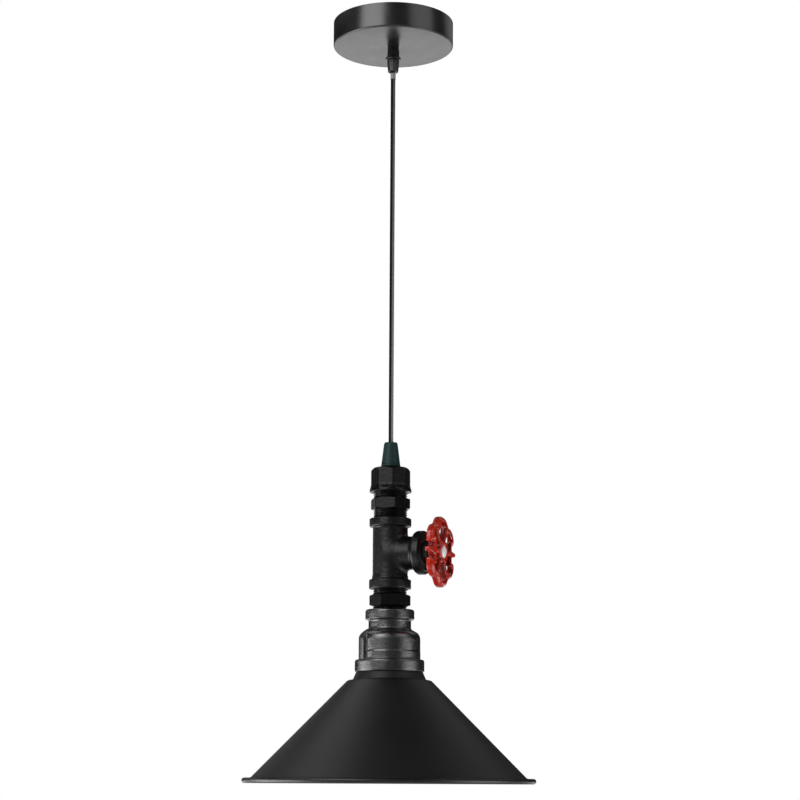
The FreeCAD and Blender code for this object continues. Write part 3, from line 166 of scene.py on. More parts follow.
def spin(points, turns, closed=True, shape=None):
    """A surface turned about Z from (radius, height) points. shape may change the radius by angle."""
    rings = np.array([tuple(point) for point in points])
    angles = np.linspace(0, 2 * math.pi, turns, endpoint=False)
    radius = np.repeat(rings[:, :1], turns, axis=1)
    height = np.repeat(rings[:, 1:], turns, axis=1)
    if shape:
        radius = shape(radius, height, angles[None, :])
    corners = np.stack([radius * np.cos(angles), radius * np.sin(angles), height], axis=-1)
    count = len(rings)
    faces = []
    for ring in range(count if closed else count - 1):
        above = (ring + 1) % count
        for turn in range(turns):
            after = (turn + 1) % turns
            faces.append((ring * turns + turn, ring * turns + after,
                          above * turns + after, above * turns + turn))
    return Form(corners, faces)


def soft_min(one, other, width):
    """The lesser of two distances, with the crease between them rounded."""
    share = np.clip(0.5 + (other - one) / (2 * width), 0, 1)
    return other + (one - other) * share - width * share * (1 - share)


def soft_max(one, other, width):
    """The greater of two distances, with the crease between them rounded."""
    return -soft_min(-one, -other, width)


def flats(angles, sides, across, turn, edge):
    """How far the flats of a prism are from its axis at each angle, with its edges eased."""
    pitch = 2 * math.pi / sides
    off = (angles - math.radians(turn)) % pitch - pitch / 2
    near = across / 2 / np.cos(off)
    beyond = across / 2 / np.cos(pitch - np.abs(off))
    return soft_min(near, beyond, edge)


def roughened(form, amount, size, seed):
    """The form with the low, uneven swells of a casting, the same in every run."""
    noise.seed_set(seed)
    shift = Vector((seed * 17.3, seed * 5.1, seed * 9.7))
    moved = np.empty_like(form.corners)
    for index, corner in enumerate(form.corners):
        place = Vector(corner)
        swell = noise.noise_vector(place / size + shift) + noise.noise_vector(place * 2.1 / size) * 0.5
        moved[index] = corner + np.array(swell) * amount
    return Form(moved, form.faces)


def piece(name, form, finish, body, node, sharp=38):
    """An object made from a form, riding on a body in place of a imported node."""
    mesh = bpy.data.meshes.new(name)
    mesh.from_pydata((form.corners * MM).tolist(), [], form.faces)
    part = bmesh.new()
    part.from_mesh(mesh)
    bmesh.ops.remove_doubles(part, verts=part.verts, dist=0.002 * MM)
    bmesh.ops.recalc_face_normals(part, faces=part.faces)
    part.to_mesh(mesh)
    part.free()
    mesh.shade_smooth()
    mesh.set_sharp_from_angle(angle=math.radians(sharp))
    mesh.materials.append(finish)
    thing = bpy.data.objects.new(name, mesh)
    bpy.context.scene.collection.objects.link(thing)
    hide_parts(node)
    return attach(thing, body)


def cast(field, low, high, cell, rounds=5):
    """The surface where a field of distances is zero: a net over a grid, then drawn tight."""
    ticks = [np.arange(start, stop + cell, cell) for start, stop in zip(low, high)]
    grid = np.stack(np.meshgrid(*ticks, indexing="ij"), axis=-1)
    value = field(grid.reshape(-1, 3)).reshape(grid.shape[:3])
    cells = tuple(count - 1 for count in value.shape)
    total, hits = np.zeros((*cells, 3)), np.zeros(cells)
    edges = []
    for axis in range(3):
        first, last = slice_at(value, axis, 0), slice_at(value, axis, 1)
        crossed = (first < 0) != (last < 0)
        share = np.where(crossed, first / np.where(crossed, first - last, 1), 0)
        place = slice_at(grid, axis, 0) + share[..., None] * cell * np.eye(3)[axis]
        edges.append((crossed, first < 0))
        for one in (0, 1):
            for other in (0, 1):
                around = [slice(None)] * 3
                around[(axis + 1) % 3] = slice(one, one + cells[(axis + 1) % 3])
                around[(axis + 2) % 3] = slice(other, other + cells[(axis + 2) % 3])
                around = tuple(around)
                total += np.where(crossed[around][..., None], place[around], 0)
                hits += crossed[around]
    used = hits > 0
    corners = total[used] / hits[used][:, None]
    number = np.full(cells, -1)
    number[used] = np.arange(len(corners))
    faces = []
    for axis, (crossed, inward) in enumerate(edges):
        where = np.argwhere(crossed)
        here, one, other = np.zeros(3, int), *np.eye(3, dtype=int)[[(axis + 1) % 3, (axis + 2) % 3]]
        within = np.all((where - one - other >= 0) & (where < cells), axis=1)
        where = where[within]
        ring = [number[tuple((where - step).T)] for step in (one + other, other, here, one)]
        quads = np.stack(ring, axis=1)
        flip = ~inward[tuple(where.T)]
        quads[flip] = quads[flip][:, ::-1]
        faces += quads.tolist()
    reach = cell / 4
    for _ in range(rounds):
        worth = field(corners)
        slope = np.stack([(field(corners + step) - field(corners - step)) / (2 * reach)
                          for step in np.eye(3) * reach], axis=1)
        size = np.maximum((slope ** 2).sum(axis=1), 0.25)
        corners = corners - slope * (np.clip(worth, -cell / 2, cell / 2) / size)[:, None]
    return Form(corners, faces)


def slice_at(values, axis, end):
    """All but the last (0) or the first (1) layer of an array along an axis."""
    pick = [slice(None)] * values.ndim
    pick[axis] = slice(1, None) if end else slice(None, -1)
    return values[tuple(pick)]


# Distances from solids, for castings

def from_tube(radius_from_axis, height, radius, middle, half, edge):
    """Distance from an upright round bar, given each point's own radius and height."""
    return soft_max(radius_from_axis - radius, np.abs(height - middle) - half, edge)


# Node trees: expressions on sockets

class Term:
    """A node's output in an expression: each operator adds a Math node to its tree."""

    def __init__(self, graph, socket):
        self.graph = graph
        self.socket = socket

    def math(self, operation, *others):
        return self.graph.math(operation, self, *others)

    def __add__(self, other):
        return self.math("ADD", other)

    def __radd__(self, other):
        return self.graph.math("ADD", other, self)

    def __sub__(self, other):
        return self.math("SUBTRACT", other)

    def __rsub__(self, other):
        return self.graph.math("SUBTRACT", other, self)

    def __mul__(self, other):
        return self.math("MULTIPLY", other)

    def __rmul__(self, other):
        return self.graph.math("MULTIPLY", other, self)

    def __truediv__(self, other):
        return self.math("DIVIDE", other)

    def __pow__(self, other):
        return self.math("POWER", other)

    def clamped(self, low=0.0, high=1.0):
        return self.math("MAXIMUM", low).math("MINIMUM", high)

    def between(self, low, high):
        """0 below low, 1 above high and a smooth rise between."""
        made = self.graph.node("ShaderNodeMapRange", {"interpolation_type": "SMOOTHSTEP"},
                               {"Value": self, "From Min": low, "From Max": high})
        return made["Result"]


class Made:
    """A node whose outputs are read by name or number."""

    def __init__(self, graph, made):
        self.graph = graph
        self.made = made

    def __getitem__(self, output):
        return Term(self.graph, self.made.outputs[output])


class Graph:
    """A node tree that grows by expressions and by one method for any other node."""

    def __init__(self, tree):
        self.tree = tree

    def node(self, kind, settings=None, inputs=None):
        """Adds a node; an input is a plain value, or an expression to link."""
        made = self.tree.nodes.new(kind)
        for name, setting in (settings or {}).items():
            setattr(made, name, setting)
        for name, entry in (inputs or {}).items():
            socket = made.inputs[name]
            if isinstance(entry, Term):
                self.tree.links.new(entry.socket, socket)
            elif entry is not None:
                socket.default_value = entry
        return Made(self, made)

    def math(self, operation, *entries):
        return self.node("ShaderNodeMath", {"operation": operation}, dict(enumerate(entries)))["Value"]


class Finish(Graph):
    """A material's tree with object coordinates at hand."""

    def __init__(self, name):
        self.material = bpy.data.materials.new(name)
        self.material.use_nodes = True
        self.material.node_tree.nodes.clear()
        super().__init__(self.material.node_tree)
        self.place = self.node("ShaderNodeTexCoord")["Object"]

    def speckle(self, size, detail=2.0, place=None, roughness=0.5):
        """Noise whose patches are about size millimetres across."""
        made = self.node("ShaderNodeTexNoise", {"noise_dimensions": "3D"}, {
            "Vector": place or self.place, "Scale": 1 / (size * MM), "Detail": detail,
            "Roughness": roughness})
        return made["Fac"]

    def pits(self, size):
        made = self.node("ShaderNodeTexVoronoi", {"feature": "SMOOTH_F1"}, {
            "Vector": self.place, "Scale": 1 / (size * MM), "Smoothness": 0.6})
        return made["Distance"]

    def mix(self, share, one, other):
        made = self.node("ShaderNodeMix", {"data_type": "RGBA"}, {0: share, 6: one, 7: other})
        return Term(self, made.made.outputs[2])

    def bump(self, height, depth, strength=1.0, under=None):
        """A Bump node for a height of 0 to 1 that stands depth millimetres."""
        made = self.node("ShaderNodeBump", {}, {
            "Strength": strength, "Distance": depth * MM, "Height": height, "Normal": under})
        return made["Normal"]

    def close(self, shader):
        self.node("ShaderNodeOutputMaterial", {}, {"Surface": shader})
        return self.material

    def coat(self, **sockets):
        """The Principled shader that ends most finishes; a socket's name has _ for each space."""
        inputs = {name.replace("_", " "): entry for name, entry in sockets.items()}
        if "Specular" in inputs:
            inputs["Specular IOR Level"] = inputs.pop("Specular")
        return self.close(self.node("ShaderNodeBsdfPrincipled", {}, inputs)["BSDF"])


def colour(red, green, blue):
    return (red, green, blue, 1.0)


def grey(level):
    return colour(level, level, level)


# Finishes

def powder_coat():
    """Satin black powder coat on the shade: very fine orange peel and a soft sheen."""
    paint = Finish("satin_powder_coat")
    peel = paint.speckle(0.9, 2.0)
    cloud = paint.speckle(60, 1.0)
    tone = paint.mix(cloud.between(0.3, 0.7), grey(0.004), grey(0.0055))
    apart = paint.node("ShaderNodeSeparateXYZ", {}, {"Vector": paint.place})
    out = (apart["X"] ** 2.0 + apart["Y"] ** 2.0).math("SQRT")
    rolled = out.between(0.1405, 0.143)
    rough = 0.4 + cloud * 0.08 + peel * 0.05
    return paint.coat(Base_Color=tone, Roughness=rough * (1 - rolled * 0.25), Specular=0.5,
                      Normal=paint.bump(peel, 0.035))


def rose_enamel():
    """Stoved semi-gloss black on the ceiling rose."""
    paint = Finish("rose_enamel")
    peel = paint.speckle(1.6, 1.0)
    dust = paint.speckle(14, 3.0)
    tone = paint.mix(dust.between(0.35, 0.75), grey(0.006), grey(0.009))
    return paint.coat(Base_Color=tone, Roughness=0.24 + dust * 0.1, Specular=0.9,
                      Normal=paint.bump(peel, 0.02))


def cast_paint(name, grain, depth, level, rough, index=1.5):
    """Black paint over sand-cast iron, its grain in millimetres, with bare highs rubbed thin."""
    paint = Finish(name)
    sand = paint.speckle(grain, 3.0)
    lumps = paint.speckle(grain * 4.2, 2.0)
    pits = paint.pits(grain * 1.7)
    height = sand * 0.5 + lumps * 0.35 + pits * 0.3
    rubbed = (sand * 0.6 + lumps * 0.4).between(0.56, 0.72)
    tone = paint.mix(rubbed, grey(level), grey(level * 1.9))
    return paint.coat(Base_Color=tone, Roughness=rough + lumps * 0.14 - rubbed * 0.1, IOR=index,
                      Normal=paint.bump(height, depth))


def painted_iron(name, level, rough, depth=0.12, gloss=0.22):
    """Black paint on turned and milled iron: fainter grain, with tool lines round the axis."""
    paint = Finish(name)
    sand = paint.speckle(0.8, 3.0)
    swirl = paint.speckle(5.0, 2.0)
    rubbed = swirl.between(0.5, 0.75)
    tone = paint.mix(rubbed, grey(level), grey(level * 1.6))
    return paint.coat(Base_Color=tone, Roughness=rough + swirl * 0.1, Specular=gloss,
                      Normal=paint.bump(sand * 0.6 + swirl * 0.4, depth))


def red_enamel(tint, level, front, reach):
    """Glossy red enamel, with painted shade in the windows of the casting: darker and with less coat
    behind its front and inside its rim.
    """
    paint = Finish("red_enamel")
    lumps = paint.speckle(5.0, 2.0)
    fine = paint.speckle(0.7, 2.0)
    apart = paint.node("ShaderNodeSeparateXYZ", {}, {"Vector": paint.place})
    out = (apart["Y"] ** 2.0 + (apart["Z"] - level * MM) ** 2.0).math("SQRT")
    # hidden marks the windows behind the front and inside the rim: painted shade there darkens the enamel
    # toward shaded and thins its coat
    hidden = (1 - out.between((reach - 2.5) * MM, reach * MM)) * (1 - apart["X"].between(
        (front - 2.6) * MM, (front - 0.8) * MM))
    deep, shaded = (colour(*(channel * share for channel in tint)) for share in (0.8, 0.42))
    tone = paint.mix(lumps.between(0.3, 0.6), deep, colour(*tint))
    return paint.coat(Base_Color=paint.mix(hidden, tone, shaded), Roughness=0.5 + fine * 0.1,
                      Specular=0.05, Coat_Weight=0.95 - hidden * 0.6, Coat_Roughness=0.13, Coat_IOR=1.55,
                      Normal=paint.bump(lumps * 0.8 + fine * 0.2, 0.012))


def zinc_plate():
    metal = Finish("zinc_plate")
    spangle = metal.speckle(2.4, 4.0)
    fine = metal.speckle(0.35, 2.0)
    tone = metal.mix(spangle.between(0.3, 0.7), grey(0.5), colour(0.62, 0.63, 0.6))
    return metal.coat(Base_Color=tone, Metallic=1.0, Roughness=0.28 + spangle * 0.2,
                      Normal=metal.bump(fine, 0.02))


def nickel_plate():
    """Near-white, faintly milky colour on the wheel's nut: a painted highlight in place of the bright
    reflection of its plate.
    """
    metal = Finish("nickel_plate")
    milk = metal.speckle(1.8, 2.0)
    # painted highlight: the nut's whole colour is near white with little metal, standing in for the gleam
    # of its plate
    tone = metal.mix(milk.between(0.3, 0.7), colour(0.9, 0.88, 0.85), colour(0.97, 0.96, 0.95))
    return metal.coat(Base_Color=tone, Metallic=0.05, Roughness=0.3 + milk * 0.15,
                      Normal=metal.bump(milk, 0.03))


def brass():
    metal = Finish("rolled_brass")
    stain = metal.speckle(3.0, 4.0)
    fine = metal.speckle(0.3, 2.0)
    tone = metal.mix(stain.between(0.4, 0.8), colour(0.72, 0.5, 0.2), colour(0.5, 0.32, 0.12))
    return metal.coat(Base_Color=tone, Metallic=1.0, Roughness=0.2 + stain * 0.2,
                      Normal=metal.bump(fine, 0.015))


def moulded(name, tint, rough=0.35, gloss=0.5):
    """Moulded plastic: a faint flow pattern and a fine spark-eroded texture."""
    plastic = Finish(name)
    flow = plastic.speckle(6.0, 2.0)
    texture = plastic.speckle(0.25, 2.0)
    lighter = tuple(min(1.0, channel * 1.25 + 0.002) for channel in tint)
    tone = plastic.mix(flow.between(0.3, 0.7), colour(*tint), colour(*lighter))
    return plastic.coat(Base_Color=tone, Roughness=rough + texture * 0.12, Specular=gloss,
                        Normal=plastic.bump(texture, 0.012))


def glazed_ceramic():
    glaze = Finish("glazed_ceramic")
    haze = glaze.speckle(4.0, 3.0)
    specks = glaze.speckle(0.5, 1.0).between(0.72, 0.8)
    tone = glaze.mix(specks * 0.5, colour(0.83, 0.81, 0.76), colour(0.5, 0.46, 0.4))
    return glaze.coat(Base_Color=tone, Roughness=0.1 + haze * 0.1, Coat_Weight=0.5,
                      Normal=glaze.bump(haze, 0.05))


def flex_rubber(azimuth):
    """The sheath of the cable, drawn lengthways, with a painted sheen: paler on the side to the camera's
    right and further down.
    """
    sheath = Finish("flex_sheath")
    drawn = sheath.node("ShaderNodeMapping", {}, {"Vector": sheath.place, "Scale": (1, 1, 0.08)})["Vector"]
    lines = sheath.speckle(0.5, 2.0, drawn)
    dust = sheath.speckle(9.0, 3.0)
    apart = sheath.node("ShaderNodeSeparateXYZ", {}, {"Vector": sheath.place})
    aside = apart["X"] * math.cos(azimuth) + apart["Y"] * math.sin(azimuth)
    # painted sheen: one side of the sheath is paler, patchy with the dust noise, and paler still further
    # down
    painted_side_sheen = aside.between(-0.4 * MM, 0.8 * MM) * (0.2 + dust * 0.2 - apart["Z"] * 1.6)
    tone = sheath.mix(painted_side_sheen.clamped(), grey(0.003), grey(0.26))
    return sheath.coat(Base_Color=tone, Roughness=0.4 + dust * 0.12, Specular=0.08,
                       Normal=sheath.bump(lines, 0.03))


def clear_vinyl():
    vinyl = Finish("clear_vinyl")
    haze = vinyl.speckle(1.5, 2.0)
    tone = vinyl.mix(haze, grey(0.3), grey(0.42))
    return vinyl.coat(Base_Color=tone, Roughness=0.22 + haze * 0.2, Transmission_Weight=0.2, IOR=1.45)


# Trees of geometry

def geometry_tree(name, inputs):
    """A geometry tree with float inputs and a finish; returns its graph and its inputs' terms."""
    tree = bpy.data.node_groups.new(name, "GeometryNodeTree")
    tree.interface.new_socket(name="Geometry", in_out="OUTPUT", socket_type="NodeSocketGeometry")
    for label, default in inputs.items():
        kind = "NodeSocketInt" if isinstance(default, int) else "NodeSocketFloat"
        tree.interface.new_socket(name=label, in_out="INPUT", socket_type=kind).default_value = default
    tree.interface.new_socket(name="Finish", in_out="INPUT", socket_type="NodeSocketMaterial")
    graph = Graph(tree)
    return graph, graph.node("NodeGroupInput")


def finish_tree(graph, given, geometry):
    """Every tree ends in Realize Instances and Set Material."""
    real = graph.node("GeometryNodeRealizeInstances", {}, {"Geometry": geometry})["Geometry"]
    dressed = graph.node("GeometryNodeSetMaterial", {}, {"Geometry": real, "Material": given["Finish"]})
    graph.node("NodeGroupOutput", {}, {"Geometry": dressed["Geometry"]})
    return graph.tree


def grown(name, tree, sizes, finish):
    """The plain mesh that a tree makes with these sizes."""
    holder = bpy.data.objects.new(name, bpy.data.meshes.new(name + "_empty"))
    bpy.context.scene.collection.objects.link(holder)
    modifier = holder.modifiers.new("tree", "NODES")
    modifier.node_group = tree
    given = dict(sizes, Finish=finish)
    for item in tree.interface.items_tree:
        if item.in_out == "INPUT" and item.name in given:
            modifier[item.identifier] = given[item.name]
    depsgraph = bpy.context.evaluated_depsgraph_get()
    mesh = bpy.data.meshes.new_from_object(holder.evaluated_get(depsgraph))
    bpy.data.objects.remove(holder)
    mesh.name = name
    return mesh


def form_of(mesh):
    """A mesh in metres as a form in millimetres."""
    corners = np.array([tuple(vertex.co) for vertex in mesh.vertices]) / MM
    return Form(corners, [tuple(face.vertices) for face in mesh.polygons])


def thread_tree():
    """A round bar with one screw thread, sizes in metres."""
    graph, given = geometry_tree("screw_thread", {
        "Radius": 0.016, "Depth": 0.001, "Pitch": 0.002, "Length": 0.01, "Middle": 0.0, "Steps": 40})
    bar = graph.node("GeometryNodeMeshCylinder", {"fill_type": "NGON"}, {
        "Vertices": 144, "Side Segments": given["Steps"], "Radius": 1.0, "Depth": given["Length"]})
    place = graph.node("GeometryNodeInputPosition")["Position"]
    apart = graph.node("ShaderNodeSeparateXYZ", {}, {"Vector": place})
    angle = graph.math("ARCTAN2", apart["Y"], apart["X"])
    turn = (apart["Z"] / given["Pitch"] - angle / (2 * math.pi)).math("FRACT")
    slope = (turn - 0.5).math("ABSOLUTE") * 2.0
    groove = (slope * 1.35 - 0.15).clamped()
    radius = given["Radius"] - groove * given["Depth"]
    raised = graph.node("ShaderNodeCombineXYZ", {}, {
        "X": apart["X"] * radius, "Y": apart["Y"] * radius, "Z": apart["Z"] + given["Middle"]})
    shaped = graph.node("GeometryNodeSetPosition", {}, {
        "Geometry": bar["Mesh"], "Position": raised["Vector"]})
    return finish_tree(graph, given, shaped["Geometry"])


def ribs_tree():
    """Upright round-ended ribs in a ring, sizes in metres."""
    graph, given = geometry_tree("ribs_in_a_ring", {
        "Count": 8, "Ring": 0.004, "Rib": 0.001, "Length": 0.004, "Middle": 0.0, "Depth": 1.0})
    ring = graph.node("GeometryNodeMeshCircle", {}, {
        "Vertices": given["Count"], "Radius": given["Ring"]})
    rise = graph.node("ShaderNodeCombineXYZ", {}, {"Z": given["Length"]})
    line = graph.node("GeometryNodeCurvePrimitiveLine", {}, {"Start": (0, 0, 0), "End": rise["Vector"]})
    section = graph.node("GeometryNodeCurvePrimitiveCircle", {}, {
        "Resolution": 16, "Radius": given["Rib"]})
    rib = graph.node("GeometryNodeCurveToMesh", {}, {
        "Curve": line["Curve"], "Profile Curve": section["Curve"], "Fill Caps": True})
    place = graph.node("GeometryNodeInputPosition")["Position"]
    apart = graph.node("ShaderNodeSeparateXYZ", {}, {"Vector": place})
    angle = graph.math("ARCTAN2", apart["Y"], apart["X"])
    facing = graph.node("ShaderNodeCombineXYZ", {}, {"Z": angle})
    scale = graph.node("ShaderNodeCombineXYZ", {}, {"X": given["Depth"], "Y": 1.0, "Z": 1.0})
    many = graph.node("GeometryNodeInstanceOnPoints", {}, {
        "Points": ring["Mesh"], "Instance": rib["Mesh"], "Rotation": facing["Vector"],
        "Scale": scale["Vector"]})
    lift = graph.node("ShaderNodeCombineXYZ", {}, {"Z": given["Middle"] - given["Length"] * 0.5})
    raised = graph.node("GeometryNodeTransform", {}, {
        "Geometry": many["Instances"], "Translation": lift["Vector"]})
    return finish_tree(graph, given, raised["Geometry"])


def thread_form(tree, radius, depth, pitch, bottom, top, finish):
    """A threaded bar between two levels, all in millimetres."""
    steps = math.ceil((top - bottom) / pitch * 12)
    mesh = grown("thread", tree, {
        "Radius": radius * MM, "Depth": depth * MM, "Pitch": pitch * MM, "Length": (top - bottom) * MM,
        "Middle": (top + bottom) / 2 * MM, "Steps": steps}, finish)
    made = form_of(mesh)
    bpy.data.meshes.remove(mesh)
    return made


# Sizes and colours a user would change

class PENDANT_PG_cord(bpy.types.PropertyGroup):
    diameter: FloatProperty(
        name="Diameter", description="Thickness of the cable", default=0.005, min=0.003, max=0.012,
        unit="LENGTH")
    lead: FloatProperty(
        name="Straight lead", description="Straight stretch at each end of the cable", default=0.03,
        min=0.005, max=0.1, unit="LENGTH")


class PENDANT_PG_wheel(bpy.types.PropertyGroup):
    tint: FloatVectorProperty(
        name="Enamel", description="Colour of the handwheel", subtype="COLOR", size=3,
        default=(0.52, 0.02, 0.008), min=0, max=1)
    wall: FloatProperty(
        name="Rim", description="Thickness of the wheel's rim", default=0.0038, min=0.003, max=0.008,
        unit="LENGTH")


class PENDANT_PG_stage(bpy.types.PropertyGroup):
    azimuth: FloatProperty(
        name="Azimuth", description="Side that the camera looks from", default=math.radians(22),
        subtype="ANGLE", unit="ROTATION")
    floor: FloatProperty(
        name="Floor", description="Height of the floor under the ceiling", default=-1.3, unit="LENGTH")


def dress(node, finish):
    """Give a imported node's own mesh a finish."""
    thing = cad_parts[node]
    thing.data.materials.clear()
    thing.data.materials.append(finish)


def dress_cores(place=""):
    """Give the three cores of the cable their wiring colours."""
    for core, tint in CORE_TINTS.items():
        dress(place + core, moulded(place + core + "_vinyl", tint, 0.3))


# Operators, one for each piece or group of like pieces

class PENDANT_OT_camera(bpy.types.Operator):
    """Place the camera level with the shade's rim, looking up a little"""
    bl_idname = "pendant.camera"
    bl_label = "Camera"

    def execute(self, context):
        stage = context.scene.pendant_stage
        distance, level = 2.1285, -0.8153
        focal_pixels, frame_pixels, sensor = 2054.0, 800.0, 36.0
        rise_pixels, aside_pixels, roll = 384.0, 9.0, math.radians(0.3)
        side = Vector((math.cos(stage.azimuth), math.sin(stage.azimuth), 0))
        ahead = Vector((-math.sin(stage.azimuth), math.cos(stage.azimuth), 0))
        yaw = math.atan(aside_pixels / focal_pixels)
        pitch = math.atan(rise_pixels / focal_pixels)
        level_ahead = ahead * math.cos(yaw) + side * math.sin(yaw)
        right = side * math.cos(yaw) - ahead * math.sin(yaw)
        forward = level_ahead * math.cos(pitch) + Vector((0, 0, math.sin(pitch)))
        up = right.cross(forward)
        leaning_right = right * math.cos(roll) + up * math.sin(roll)
        leaning_up = up * math.cos(roll) - right * math.sin(roll)
        camera = bpy.data.objects.new("camera", bpy.data.cameras.new("camera"))
        camera.data.sensor_width = sensor
        camera.data.lens = focal_pixels / frame_pixels * sensor
        camera.data.clip_end = 50
        axes = Matrix((leaning_right, leaning_up, -forward)).transposed()
        camera.matrix_world = Matrix.Translation(-ahead * distance + Vector((0, 0, level))) @ axes.to_4x4()
        context.scene.collection.objects.link(camera)
        context.scene.camera = camera
        return {"FINISHED"}


# Lamps: name, degrees to the right of the camera, distance, own and faced level, size, radiance
LAMPS = (
    ("key_left", -40, 1.9, (0.6, 0.35), (1.55, 1.84), 3.1),
    ("side_left", -93, 0.85, (-1.02, -0.8), (0.86, 0.74), 4.6),
    ("front_fill", 3, 1.9, (-0.05, -0.6), (0.95, 0.5), 0.5),
    ("upper_right", 55, 1.9, (0.6, 0.2), (1.6, 1.5), 1.0),
    ("side_right", 72, 0.85, (-1.02, -0.8), (0.7, 0.74), 2.6),
    ("back_left", -145, 2.0, (-0.1, -0.5), (1.6, 0.7), 0.22),
    ("high_left", -122, 1.35, (1.3, -0.77), (1.6, 1.1), 1.1),
    ("high_right", 135, 1.6, (0.9, -0.77), (1.2, 1.2), 0.4),
)


class PENDANT_OT_stage(bpy.types.Operator):
    """Lay the floor and light the room"""
    bl_idname = "pendant.stage"
    bl_label = "Floor and lights"

    def execute(self, context):
        stage = context.scene.pendant_stage
        self.floor(stage)
        self.room(context.scene)
        for name, aside, distance, levels, size, radiance in LAMPS:
            self.softbox(name, stage.azimuth, aside, distance, levels, size, radiance)
        context.scene.view_settings.view_transform = "Standard"
        return {"FINISHED"}

    def floor(self, stage):
        """A wide sheet of pale paper, a little brighter far behind the lamp."""
        half = 6.0
        mesh = bpy.data.meshes.new("floor")
        corners = [(-half, -half, stage.floor), (half, -half, stage.floor),
                   (half, half, stage.floor), (-half, half, stage.floor)]
        mesh.from_pydata(corners, [], [(0, 1, 2, 3)])
        floor = bpy.data.objects.new("floor", mesh)
        bpy.context.scene.collection.objects.link(floor)
        paper = Finish("floor_paper")
        grain = paper.speckle(4.0, 2.0)
        tone = paper.mix(grain, grey(0.86), grey(0.9))
        sheet = paper.node("ShaderNodeBsdfDiffuse", {}, {"Color": tone})["BSDF"]
        seen = paper.node("ShaderNodeLightPath")["Is Camera Ray"]
        behind = paper.node("ShaderNodeVectorMath", {"operation": "DOT_PRODUCT"}, {
            0: paper.place, 1: (-math.sin(stage.azimuth), math.cos(stage.azimuth), 0)})["Value"]
        spill = 0.12 + behind.between(1.4, 2.8) * 1.45
        glow = paper.node("ShaderNodeEmission", {}, {
            "Color": grey(1.0), "Strength": spill + (0.75 - spill) * seen})["Emission"]
        both = paper.node("ShaderNodeAddShader", {}, {0: sheet, 1: glow})["Shader"]
        mesh.materials.append(paper.close(both))

    def room(self, scene):
        """White to the camera and through clear pieces, dim to the rest."""
        world = bpy.data.worlds.new("room")
        world.use_nodes = True
        world.node_tree.nodes.clear()
        scene.world = world
        graph = Graph(world.node_tree)
        rays = graph.node("ShaderNodeLightPath")
        seen = rays["Is Camera Ray"].math("MAXIMUM", rays["Is Transmission Ray"])
        strength = seen + (1 - seen) * 0.03
        glow = graph.node("ShaderNodeBackground", {}, {"Color": grey(1.0), "Strength": strength})
        graph.node("ShaderNodeOutputWorld", {}, {"Surface": glow["Background"]})

    def softbox(self, name, azimuth, aside, distance, levels, size, radiance):
        """An area lamp aside of the camera in degrees, at the first level and facing the second."""
        angle = azimuth + math.radians(aside)
        place = Vector((math.sin(angle) * distance, -math.cos(angle) * distance, levels[0]))
        facing = Vector((0, 0, levels[1])) - place
        turn = facing.to_track_quat("-Z", "Y").to_matrix().to_4x4()
        lamp = bpy.data.lights.new(name, "AREA")
        lamp.shape = "RECTANGLE"
        lamp.size, lamp.size_y = size
        lamp.energy = radiance * math.pi * size[0] * size[1]
        thing = bpy.data.objects.new(name, lamp)
        thing.matrix_world = Matrix.Translation(place) @ turn
        bpy.context.scene.collection.objects.link(thing)


class PENDANT_OT_cord(bpy.types.Operator):
    """Hang the cable from the cord grip to the cone on the pipe"""
    bl_idname = "pendant.cord"
    bl_label = "Cable"

    def execute(self, context):
        sizes = context.scene.pendant_cord
        rubber = flex_rubber(context.scene.pendant_stage.azimuth)
        bend, cable = Span("cable_bend"), Span("pendant_cable")
        start, end = bend.middle * MM, cable.bottom * MM
        curve = bpy.data.curves.new("cable", "CURVE")
        curve.dimensions = "3D"
        curve.bevel_depth = sizes.diameter / 2
        curve.bevel_resolution = 8
        curve.use_fill_caps = True
        spline = curve.splines.new("NURBS")
        levels = (start, start - sizes.lead, end + sizes.lead, end)
        spline.points.add(len(levels) - 1)
        for point, level in zip(spline.points, levels):
            point.co = (0, 0, level, 1)
        spline.order_u = 3
        spline.use_endpoint_u = True
        spline.resolution_u = 24
        curve.materials.append(rubber)
        cord = bpy.data.objects.new("cable", curve)
        context.scene.collection.objects.link(cord)
        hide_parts("pendant_cable")
        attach(cord, "pendant")
        sleeve = Span("cable_sleeve")
        clearance, edge, rim = 0.05, 0.12, sleeve.top + 1.4
        inner = sizes.diameter / 2 / MM + clearance
        wall = profile((inner, sleeve.bottom), (sleeve.radius, sleeve.bottom, edge),
                       (sleeve.radius, rim, edge), (inner, rim))
        tube = piece("clear_sleeve", spin(wall, 48), clear_vinyl(), "pendant",
                     "cable_sleeve")
        for node in ("cable_bend", "cable_in_rose", "cable_in_pipe"):
            dress(node, rubber)
        return {"FINISHED"}


